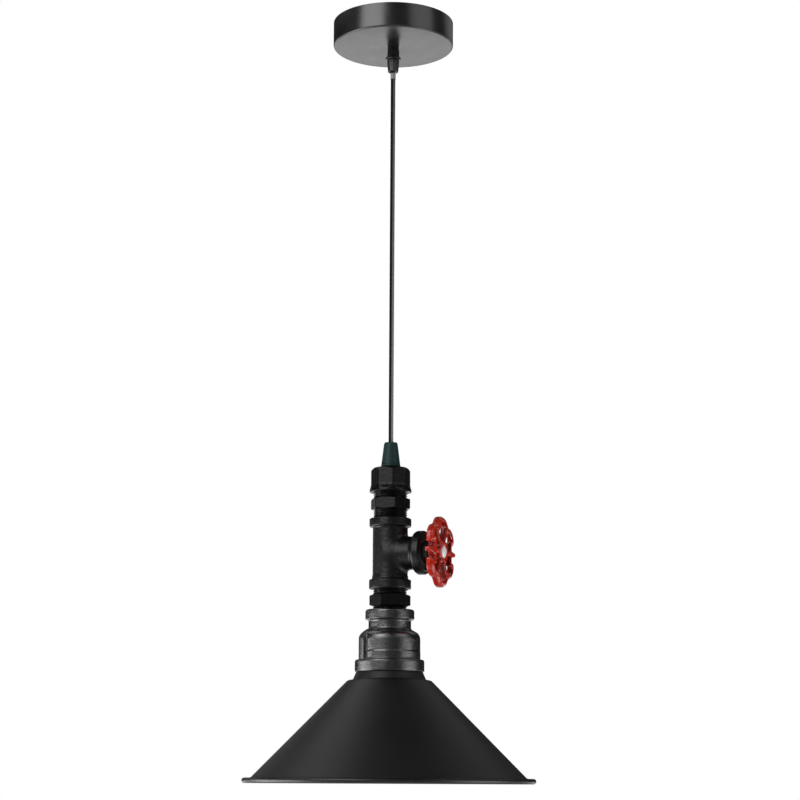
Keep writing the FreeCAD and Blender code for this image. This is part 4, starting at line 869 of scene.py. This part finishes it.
class PENDANT_OT_rose(bpy.types.Operator):
    """Make the ceiling rose, its screws and the bracket and wiring inside"""
    bl_idname = "pendant.rose"
    bl_label = "Ceiling rose"

    def execute(self, context):
        rose = Span("ceiling_rose")
        wall, corner, hole, hole_edge, rim_edge = 1.2, 2.0, 4.2, 0.3, 0.25
        outer, floor = rose.radius, rose.bottom
        drum = profile(
            (outer, rose.top, rim_edge), (outer, floor, corner),
            (hole, floor, hole_edge), (hole, floor + wall, hole_edge),
            (outer - wall, floor + wall, corner - wall), (outer - wall, rose.top, rim_edge))
        enamel = rose_enamel()
        piece("ceiling_rose_shell", spin(drum, 256), enamel, "ceiling_mount",
              "ceiling_rose")
        self.screws(enamel)
        steel, screw = zinc_plate(), brass()
        for node in ("mounting_bracket", "earth_screw", "grip_washer", "grip_nut"):
            dress(node, steel)
        for node in ("terminal_screws", "block_screw"):
            dress(node, screw)
        dress("terminal_block", moulded("block_nylon", (0.72, 0.7, 0.64), 0.4))
        dress_cores("rose_")
        return {"FINISHED"}

    def screws(self, enamel):
        """Two countersunk screws with a cross slot, flush with the wall."""
        screws = Span("rose_screws")
        head, shank, length = screws.radius, 2.0, 8
        slot, slot_foot, slot_floor = 1.6, 0.5, 6.6
        reach = screws.right - length
        body = profile((0, 0), (shank, 0, 0.3), (shank, length - head + shank), (head, length, 0.12),
                       (slot, length), (slot_foot, slot_floor), (0, slot_floor), closed=False)

        def cross(radius, height, angles):
            return radius * (1 + 0.18 * np.cos(4 * angles) * (radius < slot + 0.1))

        one = spin(body, 64, False, cross)
        right = one.along_x().moved(x=reach, z=screws.middle)
        left = one.turned(-90, "Y").moved(x=-reach, z=screws.middle)
        piece("rose_screw_pair", right + left, enamel, "ceiling_mount", "rose_screws")


class PENDANT_OT_grip(bpy.types.Operator):
    """Make the cord grip under the rose"""
    bl_idname = "pendant.grip"
    bl_label = "Cord grip"

    def execute(self, context):
        nylon = moulded("grip_nylon", (0.008, 0.008, 0.008), 0.16, 0.6)
        body, cone = Span("grip_body"), Span("grip_cone")
        rose = Span("ceiling_rose")
        ring_top = cone.top + 2.5
        shoulder, waist = rose.bottom - 3, 6.75
        neck, bore, stem, collar = 5.9, 3.0, 4.0, 6.35
        nose, nose_end, pocket, pocket_end = 5.5, cone.top - 6, 4.4, body.top - 19
        trunk = profile(
            (bore, body.top), (stem, body.top, 0.3), (stem, rose.bottom), (neck, rose.bottom),
            (neck, shoulder + 0.6, 0.5), (collar, shoulder, 0.5), (waist - 0.5, shoulder - 4, 2.0),
            (waist, ring_top, 0.3), (body.radius, ring_top - 0.3, 0.5), (body.radius, cone.top, 0.5),
            (nose, cone.top), (nose, nose_end), (pocket, nose_end), (pocket, pocket_end),
            (bore, pocket_end))
        made = spin(trunk, 96)
        tree = ribs_tree()
        fingers = form_of(grown("grip_fingers", tree, {
            "Count": 8, "Ring": 5.5 * MM, "Rib": 0.95 * MM, "Length": 3.0 * MM,
            "Middle": (rose.bottom - 1.5) * MM, "Depth": 0.9}, nylon))
        beads = form_of(grown("grip_lugs", tree, {
            "Count": 6, "Ring": 6.2 * MM, "Rib": 0.8 * MM, "Length": 4.4 * MM,
            "Middle": (shoulder - 4.6) * MM, "Depth": 1.0}, nylon))
        piece("grip_trunk", made + fingers + beads, nylon, "ceiling_mount", "grip_body")
        top, mouth, flare, end = 6.65, 5.6, 4.9, cone.bottom + 1.3
        thread, thread_end, throat, chamfer = 5.55, cone.top - 6.5, 2.9, 0.6
        flutes, flute_depth, fluted_from = 18, 0.22, 5.2
        clamp = profile(
            (thread, cone.top), (top - chamfer, cone.top), (top, cone.top - chamfer, 0.5),
            (mouth, end, 0.9), (flare, end, 0.4), (throat, end + 2.2, 0.6), (throat, thread_end),
            (thread, thread_end))

        def grooves(radius, height, angles):
            wave = (0.5 + 0.5 * np.cos(flutes * angles)) ** 3
            return np.where(radius > fluted_from, radius - flute_depth * wave, radius)

        piece("grip_clamp", spin(clamp, 216, True, grooves), nylon, "ceiling_mount",
              "grip_cone")
        dress("grip_bush", moulded("bush_rubber", (0.012, 0.012, 0.012), 0.6))
        return {"FINISHED"}


class PENDANT_OT_shade(bpy.types.Operator):
    """Spin the shade and roll its rim"""
    bl_idname = "pendant.shade"
    bl_label = "Shade"

    def execute(self, context):
        shade = Span("lamp_shade")
        top, sheet, bead = shade.top, 1.0, 2.8
        neck_top, neck_foot, neck_height = 34.3, 37.7, 8.0
        fold, fold_drop, fold_round = 43.2, 9.0, 4.0
        shoulder, shoulder_drop, shoulder_round = 47.7, 13.5, 20.0
        flange = 9.0
        foot = shade.radius - flange
        flange_level = shade.bottom + 2 * bead
        hole = 20.3
        bead_middle = Vector((shade.radius - bead, shade.bottom + bead))
        slant = sheet * math.sqrt(0.5)
        brim, neck_end = (neck_top, top), (neck_foot, top - neck_height)
        fold_end, cone_start = (fold, top - fold_drop), (shoulder, top - shoulder_drop)
        outside = [Vector((hole, top))]
        outside += eased((hole, top), brim, neck_end, 1.6)
        outside += eased(brim, neck_end, fold_end, 1.2)
        outside += eased(neck_end, fold_end, cone_start, fold_round)
        outside += eased(cone_start, (foot, flange_level), bead_middle + Vector((0, bead)), 3.0)
        roll = [bead_middle + Vector((math.sin(angle), math.cos(angle))) * bead
                for angle in np.linspace(0, 2 * math.pi, 29)[:-4]]
        inner_start = (shoulder - slant, top - shoulder_drop - slant)
        inner_neck = (neck_foot - slant, top - neck_height - slant)
        under = eased((bead_middle.x - 1, flange_level - sheet), (foot - 0.4, flange_level - sheet),
                      inner_start, 2.2)
        inside = [Vector(inner_start)]
        inside += arc(inner_start, inner_neck, shoulder_round - sheet, 1)[1:]
        inside += eased(inner_neck, (neck_top - sheet, top - sheet), (hole, top - sheet), 0.8)
        inside.append(Vector((hole, top - sheet)))
        sheet_line = divided(outside + roll + under + inside, True, 14)
        piece("spun_shade", spin(sheet_line, 288), powder_coat(), "pendant",
              "lamp_shade", sharp=50)
        return {"FINISHED"}


class PENDANT_OT_relief(bpy.types.Operator):
    """Make the cone that the cable enters, on top of the cap"""
    bl_idname = "pendant.relief"
    bl_label = "Strain relief"

    def execute(self, context):
        cone, cap = Span("cable_cone"), Span("pipe_cap")
        rubber = moulded("relief_rubber", (0.004, 0.026, 0.023), 0.45, 0.3)
        way, top, foot, stem = 2.55, 7.3, 10.2, 5.0
        lip = cone.top + 1.2
        line = profile(
            (way, lip - 0.6, 0.3), (top - 1.6, lip, 0.5), (top - 0.5, lip - 0.2, 0.4),
            (top - 0.3, lip - 1.6, 0.3), (top, lip - 2.4, 0.4), (foot, cap.top, 0.5),
            (stem, cap.top), (stem, cone.bottom), (way, cone.bottom))
        piece("relief_cone", spin(line, 96), rubber, "pendant", "cable_cone")
        dress("cone_nut", zinc_plate())
        return {"FINISHED"}


class PENDANT_OT_cap(bpy.types.Operator):
    """Make the eight-sided cap with its round skirt"""
    bl_idname = "pendant.cap"
    bl_label = "Pipe cap"

    def execute(self, context):
        cap = Span("pipe_cap")
        across, corner, turn = 38.5, 20.8, 29.0
        flat_depth, skirt_edge, skirt = 20.0, 0.7, cap.radius + 0.3
        crown, dome, mouth, thread, thread_start = 9.5, 17.6, 18.2, 17.2, cap.bottom + 2
        line = profile(
            (0, cap.top), (crown, cap.top), (dome, cap.top - 1.4, 2.0), (corner, cap.top - 4.4, 2.4),
            (corner, cap.top - flat_depth, 2.0), (skirt, cap.top - flat_depth - 5.4, 1.2),
            (skirt, cap.bottom, skirt_edge), (mouth, cap.bottom, 0.3), (thread, thread_start),
            (0, thread_start), closed=False, longest=0.8)
        foot = cap.top - flat_depth + 1.0

        def faceted(radius, height, angles):
            sides = flats(angles, 8, across, turn, 0.7)
            share = np.clip((foot - height) / (foot - cap.bottom - 2.0), 0, 1)
            spread = share ** 1.5 * (skirt - across / 2 + 0.4)
            cut = soft_min(radius, sides + spread, 0.4)
            return np.where(radius < crown - 0.1, radius, cut)

        form = roughened(spin(line, 320, False, faceted), 0.07, 3.0, 1)
        piece("cap_casting", form, painted_iron("cap_paint", 0.003, 0.24, 0.1), "pendant",
              "pipe_cap")
        return {"FINISHED"}


class PENDANT_OT_nipples(bpy.types.Operator):
    """Make the two hexagon nipples with the threads that show at their necks"""
    bl_idname = "pendant.nipples"
    bl_label = "Nipples"

    def execute(self, context):
        tree = thread_tree()
        iron = painted_iron("nipple_paint", 0.003, 0.24, 0.08)
        cap, tee, socket = Span("pipe_cap"), Span("pipe_tee"), Span("reducing_socket")
        self.nipple("upper_nipple", tree, iron, cap.bottom, 6.4, 12.0, tee.top, 5.0)
        self.nipple("lower_nipple", tree, iron, tee.bottom, 5.6, 12.2, socket.top, 25.0)
        return {"FINISHED"}

    def nipple(self, node, tree, iron, above, neck, height, below, turn):
        across, chamfer, thread, depth, pitch, hidden = 37.2, 1.3, 17.7, 1.1, 2.31, 3.0
        top, bottom = above - neck, above - neck - height
        corner = across / 2 / math.cos(math.pi / 6)
        line = profile(
            (0, top), (across / 2 - 0.9, top, 0.3), (corner + 0.1, top - chamfer, 0.4),
            (corner + 0.1, bottom + chamfer, 0.4), (across / 2 - 0.9, bottom, 0.3), (0, bottom),
            closed=False, longest=0.9)

        def hexagon(radius, height, angles):
            return soft_min(radius, flats(angles, 6, across, turn, 0.6), 0.45)

        nut = roughened(spin(line, 288, False, hexagon), 0.05, 2.6, 2)
        upper = thread_form(tree, thread, depth, pitch, top - hidden, above + hidden, iron)
        lower = thread_form(tree, thread, depth, pitch, below - hidden, bottom + hidden, iron)
        piece(node + "_iron", nut + upper + lower, iron, "pendant", node)


class PENDANT_OT_tee(bpy.types.Operator):
    """Cast the tee: a banded run with a branch blended into it"""
    bl_idname = "pendant.tee"
    bl_label = "Tee"

    def execute(self, context):
        tee = Span("pipe_tee")
        level = Span("branch_plug").middle
        run, band, collar_radius, arm, reach = 18.2, 21.8, 22.7, 17.3, tee.right
        top_band, bottom_band, arm_band, edge = 8.6, 9.7, 9.6, 1.2
        upper_half, lower_half = top_band / 2, bottom_band / 2

        def field(points):
            x, y, z = points.T
            out, along = np.hypot(x, y), z
            across = np.hypot(y, z - level)
            body = from_tube(out, along, run, tee.middle, tee.height / 2, edge)
            upper = from_tube(out, along, band, tee.top - upper_half, upper_half, edge)
            lower = from_tube(out, along, band, tee.bottom + lower_half, lower_half, edge)
            ledge = from_tube(out, along, run + 0.5, tee.bottom + 8, 6.0, 0.3)
            branch = from_tube(across, x, arm, reach / 2, reach / 2, edge)
            collar = soft_max(soft_max(across - collar_radius, reach - arm_band - x, 4.0), x - reach, edge)
            arm_whole = soft_min(branch, collar, 4.0)
            whole = soft_min(soft_min(soft_min(body, ledge, 0.2), upper, 2.2), lower, 2.2)
            joined = soft_min(whole, arm_whole, 4.6)
            mouth = from_tube(across, x, 17.9, reach, 2.2, 0.3)
            ends = np.minimum(from_tube(out, along, 18.4, tee.top, 0.9, 0.3),
                              from_tube(out, along, 18.4, tee.bottom, 0.9, 0.3))
            return soft_max(joined, -np.minimum(mouth, ends), 0.3)

        low, high = (-band - 2, -band - 3, tee.bottom - 2), (reach + 2, band + 3, tee.top + 2)
        form = roughened(cast(field, low, high, 0.72), 0.11, 3.2, 3)
        piece("tee_casting", form, cast_paint("tee_paint", 0.55, 0.16, 0.003, 0.28, 1.4), "pendant",
              "pipe_tee", sharp=60)
        return {"FINISHED"}


class PENDANT_OT_branch(bpy.types.Operator):
    """Make the plug, spindle, washer and nut on the branch"""
    bl_idname = "pendant.branch"
    bl_label = "Branch fittings"

    def execute(self, context):
        plug, spindle, tee = Span("branch_plug"), Span("valve_spindle"), Span("pipe_tee")
        washer, crown = Span("wheel_washer"), Span("wheel_nut")
        level, start = plug.middle, plug.left
        face, across, way, thread = tee.right - 1.6 - start, 20.5, 4.1, 16.4
        end = plug.right - start
        corner = across / 2 / math.cos(math.pi / 6)
        line = profile((0, 0), (thread, 0), (thread, face, 0.4), (corner + 0.5, face, 0.5),
                       (corner, face + 0.4), (corner, end - 1.1, 0.4), (across / 2 - 0.3, end, 0.3),
                       (way, end, 0.3), (way, end - 1), (0, end - 1), closed=False, longest=0.8)

        def boss(radius, height, angles):
            sides = flats(angles, 6, across, 0, 0.5)
            cut = (height > face + 0.2) & (radius > way + 1)
            return np.where(cut, soft_min(radius, sides, 0.4), radius)

        iron = cast_paint("plug_paint", 0.5, 0.18, 0.008, 0.42)
        form = spin(line, 240, False, boss).along_x().moved(x=start, z=level)
        piece("plug_iron", form, iron, "pendant", "branch_plug")
        steel = zinc_plate()
        thick, thin, hole = 4, 3, 3.05
        neck_start, thread_start = spindle.right - 4.2, spindle.right - 4.0
        rod = profile((0, spindle.left), (thick, spindle.left, 0.5), (thick, neck_start, 0.2),
                      (thin, thread_start), (thin, spindle.right, 0.4), (0, spindle.right), closed=False)
        piece("spindle_steel", spin(rod, 64, False).along_x().moved(z=level), steel, "wheel",
              "valve_spindle")
        disc = profile((hole, washer.left), (washer.radius, washer.left, 0.25),
                       (washer.radius, washer.right, 0.25), (hole, washer.right))
        piece("washer_steel", spin(disc, 96).along_x().moved(z=level), steel, "wheel",
              "wheel_washer")
        left, right = crown.left, crown.right
        dome = profile((hole, left), (crown.radius, left, 0.3), (crown.radius, right - 1.4, 0.5),
                       (crown.radius - 2.4, right, 1.2), (0, right), closed=False)

        def lobes(radius, height, angles):
            return np.where(radius > 5, soft_min(radius, flats(angles, 6, 11.6, 10, 0.5), 0.5), radius)

        piece("wheel_nut_steel", spin(dome, 120, False, lobes).along_x().moved(z=level), nickel_plate(),
              "wheel", "wheel_nut")
        dress("spindle_clip", steel)
        return {"FINISHED"}


class PENDANT_OT_wheel(bpy.types.Operator):
    """Cast the lobed handwheel"""
    bl_idname = "pendant.wheel"
    bl_label = "Handwheel"

    def execute(self, context):
        sizes = context.scene.pendant_wheel
        wheel, level = Span("hand_wheel"), Span("branch_plug").middle
        lobes, centre, lobe, wall = 6, 21.2, 16.4, sizes.wall / MM
        widest, flat_side, taper, flat_band = 36.8, 32.0, 2.9, 4.2
        depth, setback, hub, hub_length = 7.8, 7.4, 9.0, 12.8
        spoke_half, spoke_low, spoke_high, spoke_flare, side_spoke = 2.6, -0.6, 6.2, 1.6, 3.3
        nib_reach, nib_low, nib_high, nib_half, nib_taper = 37.8, 0.3, 6.6, 4.3, 2.3
        notch_half, notch_reach = 8.4, 26.0
        back = wheel.left + setback
        pitch = 2 * math.pi / lobes
        valley = centre * math.cos(pitch / 2) + math.sqrt(lobe ** 2 - (centre * math.sin(pitch / 2)) ** 2)

        def field(points):
            x, y, z = points.T
            out, angle = np.hypot(x, y), np.arctan2(y, x)
            near = (angle + pitch / 2) % pitch - pitch / 2
            lobe_x, lobe_y = out * np.cos(near), np.abs(out * np.sin(near))
            own = np.hypot(lobe_x - centre, lobe_y) - lobe
            next_one = np.hypot(lobe_x - centre * math.cos(pitch),
                                lobe_y - centre * math.sin(pitch)) - lobe
            aside, up = np.abs(y), np.abs(x)
            at_side = aside > up * math.tan(pitch)
            outline = np.where(at_side, soft_min(own, next_one, 1.0), soft_min(own, next_one, 5.0))
            outline = soft_max(soft_max(outline, out - widest, 2.0), aside - flat_side, 2.0)
            notch = soft_max(up - notch_half, notch_reach - aside, 1.6)
            outline = soft_max(outline, -notch, 1.3)
            lean = taper * np.clip((z - flat_band) / (depth - flat_band), 0, 1) ** 1.5
            section = soft_max(outline + lean, -(outline + wall + lean * 0.8), 1.4)
            edge = np.where(z > depth / 2, 2.0, 1.2)
            rim = soft_max(section, np.abs(z - depth / 2) - depth / 2, edge)
            spoke_angle = angle % pitch - pitch / 2
            spoke_out, spoke_off = out * np.cos(spoke_angle), np.abs(out * np.sin(spoke_angle))
            along = np.clip((spoke_out - hub) / (valley - wall - hub), 0, 1)
            waist = np.where(at_side, side_spoke, spoke_half + spoke_flare * along ** 2)
            spoke = soft_max(spoke_off - waist, np.abs(z - (spoke_low + spoke_high) / 2)
                             - (spoke_high - spoke_low) / 2, 2.6)
            spoke = np.maximum(spoke, spoke_out - np.where(at_side, notch_reach, valley) + wall / 2)
            middle = from_tube(out, z, hub, hub_length / 2 - setback, hub_length / 2, 1.4)
            share = np.clip((aside - notch_reach + wall) / (nib_reach - notch_reach + wall), 0, 1)
            nib = soft_max(up - (nib_half - nib_taper * share), aside - nib_reach, 1.4)
            nib = soft_max(nib, np.abs(z - (nib_low + nib_high) / 2) - (nib_high - nib_low) / 2, 2.0)
            nib = np.maximum(nib, notch_reach - wall - aside)
            whole = soft_min(soft_min(rim, spoke, 2.4), middle, 2.2)
            return soft_min(whole, nib, 1.6)

        edge_of_grid = nib_reach + 2
        form = cast(field, (-edge_of_grid, -edge_of_grid, -setback - 2),
                    (edge_of_grid, edge_of_grid, depth + 2), 0.6)
        form = form.along_x().moved(x=back, z=level)
        enamel = red_enamel(tuple(sizes.tint), level, back + depth, 29.0)
        piece("wheel_casting", form, enamel, "wheel", "hand_wheel", sharp=70)
        return {"FINISHED"}


class PENDANT_OT_socket(bpy.types.Operator):
    """Cast the reducing socket with its bands and two ribs"""
    bl_idname = "pendant.socket"
    bl_label = "Reducing socket"

    def execute(self, context):
        socket = Span("reducing_socket")
        top, floor = socket.top, socket.bottom
        collar, neck, wide, foot = 25.3, 22.0, 31.6, 35.8
        band, neck_end, shoulder_end, foot_band = 10.0, 20.2, 30.5, 12.2
        rib_half, rib_proud, rib_turn = 4.6, 2.6, math.radians(52)
        shoulder_round = 9.0
        shoulder_start = (wide - shoulder_round * 0.5,
                          top - shoulder_end + shoulder_round * math.sin(math.radians(60)))
        mouth, crease, step, hollow, ledge = 17.3, top - 43, 0.12, 20.5, floor + 4
        band_foot, neck_foot, foot_top = (collar, top - band), (neck, top - neck_end), floor + foot_band
        line = [Vector((0, top)), Vector((mouth, top))]
        line += eased((mouth, top), (collar, top), band_foot, 2.2)
        line += eased((collar, top), band_foot, (neck, top - band - 1.2), 0.35)
        line += eased(band_foot, (neck, top - band - 1.6), neck_foot, 1.0)
        line += eased((neck, top - band), neck_foot, shoulder_start, 2.5)
        line += arc(shoulder_start, (wide, top - shoulder_end), shoulder_round, -1)[1:]
        line += [Vector((wide, crease)), Vector((wide + step, top - 43.3))]
        line += eased((wide + step, top - 43.3), (wide + step, foot_top), (foot, foot_top), 1.2)
        line += eased((wide, foot_top), (foot, foot_top), (foot, floor), 2.2)
        line += eased((foot, foot_top), (foot, floor), (20, floor), 0.5)
        line += [Vector((hollow, floor)), Vector((hollow, ledge)), Vector((0, ledge))]
        points = divided(line, False, 0.85)

        def ribbed(radius, height, angles):
            aside = np.abs(wide * np.sin(angles - rib_turn))
            drop = top - height
            lift = np.clip((drop - neck_end) / (shoulder_end - neck_end), 0, 1)
            crest = neck + 2 + (wide + rib_proud - neck - 2) * np.sin(lift * math.pi / 2) ** 0.8
            inside = (height < top - neck_end + 0.5) & (height > foot_top - 0.5) & (radius > neck - 2)
            rib = crest - np.maximum(aside - rib_half, 0) * 7.0
            beside = np.clip(1 - np.abs(aside - rib_half - 1.6) / 1.5, 0, 1)
            ditch = 0.9 * beside * np.clip(lift * 2 - 1, 0, 1)
            return np.where(inside, soft_max(radius - ditch, rib, 0.35), radius)

        form = roughened(spin(points, 420, False, ribbed), 0.03, 2.2, 5)
        piece("socket_casting", form, cast_paint("socket_paint", 0.7, 0.3, 0.003, 0.15, 2.15), "pendant",
              "reducing_socket", sharp=60)
        for node in ("anchor_disc", "carrier_disc", "anchor_nut", "carrier_nut", "holder_nipple"):
            dress(node, zinc_plate())
        return {"FINISHED"}


class PENDANT_OT_holder(bpy.types.Operator):
    """Make the lamp holder and the ring that clamps the shade"""
    bl_idname = "pendant.holder"
    bl_label = "Lamp holder"

    def execute(self, context):
        nylon = moulded("holder_nylon", (0.009, 0.009, 0.009), 0.3)
        skirt, ring, cap = Span("holder_skirt"), Span("shade_ring"), Span("holder_cap")
        outer, inner, flange_level = 19.8, 17.2, Span("lamp_shade").top
        tongue, root, flange_top = 18.35, outer - 0.9, flange_level + 3
        line = profile(
            (inner, skirt.top), (tongue, skirt.top, 0.2), (tongue, cap.bottom), (outer, cap.bottom, 0.2),
            (outer, flange_top), (skirt.radius, flange_top, 0.4), (skirt.radius, flange_level),
            (root, flange_level), (root, skirt.bottom + 0.8), (root, skirt.bottom, 0.5),
            (inner, skirt.bottom, 0.5))
        walls = spin(line, 144)
        coarse = self.collar_thread(outer, flange_level - 0.2, skirt.bottom + 0.6, root)
        piece("holder_skirt_nylon", walls + coarse, nylon, "pendant", "holder_skirt")
        hole = outer + 0.05
        rib = 1.0
        ring_wall = ring.radius - rib
        band = profile((hole, ring.top), (ring_wall, ring.top, 0.4), (ring_wall, ring.bottom, 1.0),
                       (hole, ring.bottom, 0.6))
        ribs = form_of(grown("ring_ribs", ribs_tree(), {
            "Count": 48, "Ring": ring_wall * MM, "Rib": rib * MM, "Length": (ring.height - 1.6) * MM,
            "Middle": (ring.middle + 0.2) * MM, "Depth": 1.0}, nylon))
        piece("shade_ring_nylon", spin(band, 144) + ribs, nylon, "pendant", "shade_ring")
        self.shell()
        dress("holder_insert", glazed_ceramic())
        dress("holder_cap", nylon)
        for node in ("centre_contact", "contact_screws", "holder_earth_screw"):
            dress(node, brass())
        dress_cores()
        return {"FINISHED"}

    def collar_thread(self, outer, top, bottom, root):
        """The coarse moulded thread that the ring runs on."""
        pitch = 2.5
        line = profile((root - 0.3, top), (outer, top), (outer, bottom), (root - 0.3, bottom), longest=0.2)

        def helix(radius, height, angles):
            turn = (height / pitch - angles / (2 * math.pi)) % 1.0
            groove = np.clip(1.6 * np.abs(turn - 0.5) * 2 - 0.45, 0, 1)
            return np.where(radius > root, radius - groove * (outer - root), radius)

        return spin(line, 144, True, helix)

    def shell(self):
        """The brass screw shell, rolled with the lamp cap's round thread."""
        shell = Span("screw_shell")
        bore, wall, pitch, depth = 13.15, 0.4, 3.62, 0.75
        collar, collar_height, lip = 12.0, 3.0, 8.0
        top = shell.top
        step = top - collar_height
        line = profile(
            (lip, top), (collar + wall, top, 0.3), (collar + wall, step + wall, 0.3),
            (bore + wall, step + wall, 0.3), (bore + wall, shell.bottom, 0.15),
            (bore, shell.bottom, 0.15), (bore, step, 0.3), (collar, step, 0.3),
            (collar, top - wall, 0.3), (lip, top - wall), longest=0.35)

        def rolled(radius, height, angles):
            turn = (height / pitch - angles / (2 * math.pi)) * 2 * math.pi
            span = np.clip((step - height) / 3, 0, 1) * np.clip((height - shell.bottom) / 2, 0, 1)
            return radius - (radius > bore - 0.1) * span * depth * 0.5 * (1 - np.cos(turn))

        piece("shell_brass", spin(line, 144, True, rolled), brass(), "pendant", "screw_shell",
              sharp=50)


class PENDANT_PT_panel(bpy.types.Panel):
    """Lists the steps of the pendant light"""
    bl_idname = "PENDANT_PT_panel"
    bl_label = "Pipe Pendant Light"
    bl_space_type = "VIEW_3D"
    bl_region_type = "UI"
    bl_category = "Pendant"

    def draw(self, context):
        for group in (getattr(context.scene, name) for name in GROUPS):
            for name in group.bl_rna.properties.keys():
                if name not in ("rna_type", "name"):
                    self.layout.prop(group, name)
        for operator in OPERATORS:
            self.layout.operator(operator.bl_idname)


GROUPS = {
    "pendant_cord": PENDANT_PG_cord,
    "pendant_wheel": PENDANT_PG_wheel,
    "pendant_stage": PENDANT_PG_stage,
}
OPERATORS = [
    PENDANT_OT_camera, PENDANT_OT_stage, PENDANT_OT_cord, PENDANT_OT_rose, PENDANT_OT_grip,
    PENDANT_OT_shade, PENDANT_OT_relief, PENDANT_OT_cap, PENDANT_OT_nipples, PENDANT_OT_tee,
    PENDANT_OT_branch, PENDANT_OT_wheel, PENDANT_OT_socket, PENDANT_OT_holder,
]


def register():
    for entry in [*GROUPS.values(), *OPERATORS, PENDANT_PT_panel]:
        bpy.utils.register_class(entry)
    for name, group in GROUPS.items():
        setattr(bpy.types.Scene, name, PointerProperty(type=group))


def unregister():
    for name in GROUPS:
        delattr(bpy.types.Scene, name)
    for entry in reversed([*GROUPS.values(), *OPERATORS, PENDANT_PT_panel]):
        bpy.utils.unregister_class(entry)


def main():
    register()
    for operator in OPERATORS:
        group, name = operator.bl_idname.split(".")
        getattr(getattr(bpy.ops, group), name)()


if __name__ == "__main__":
    main()
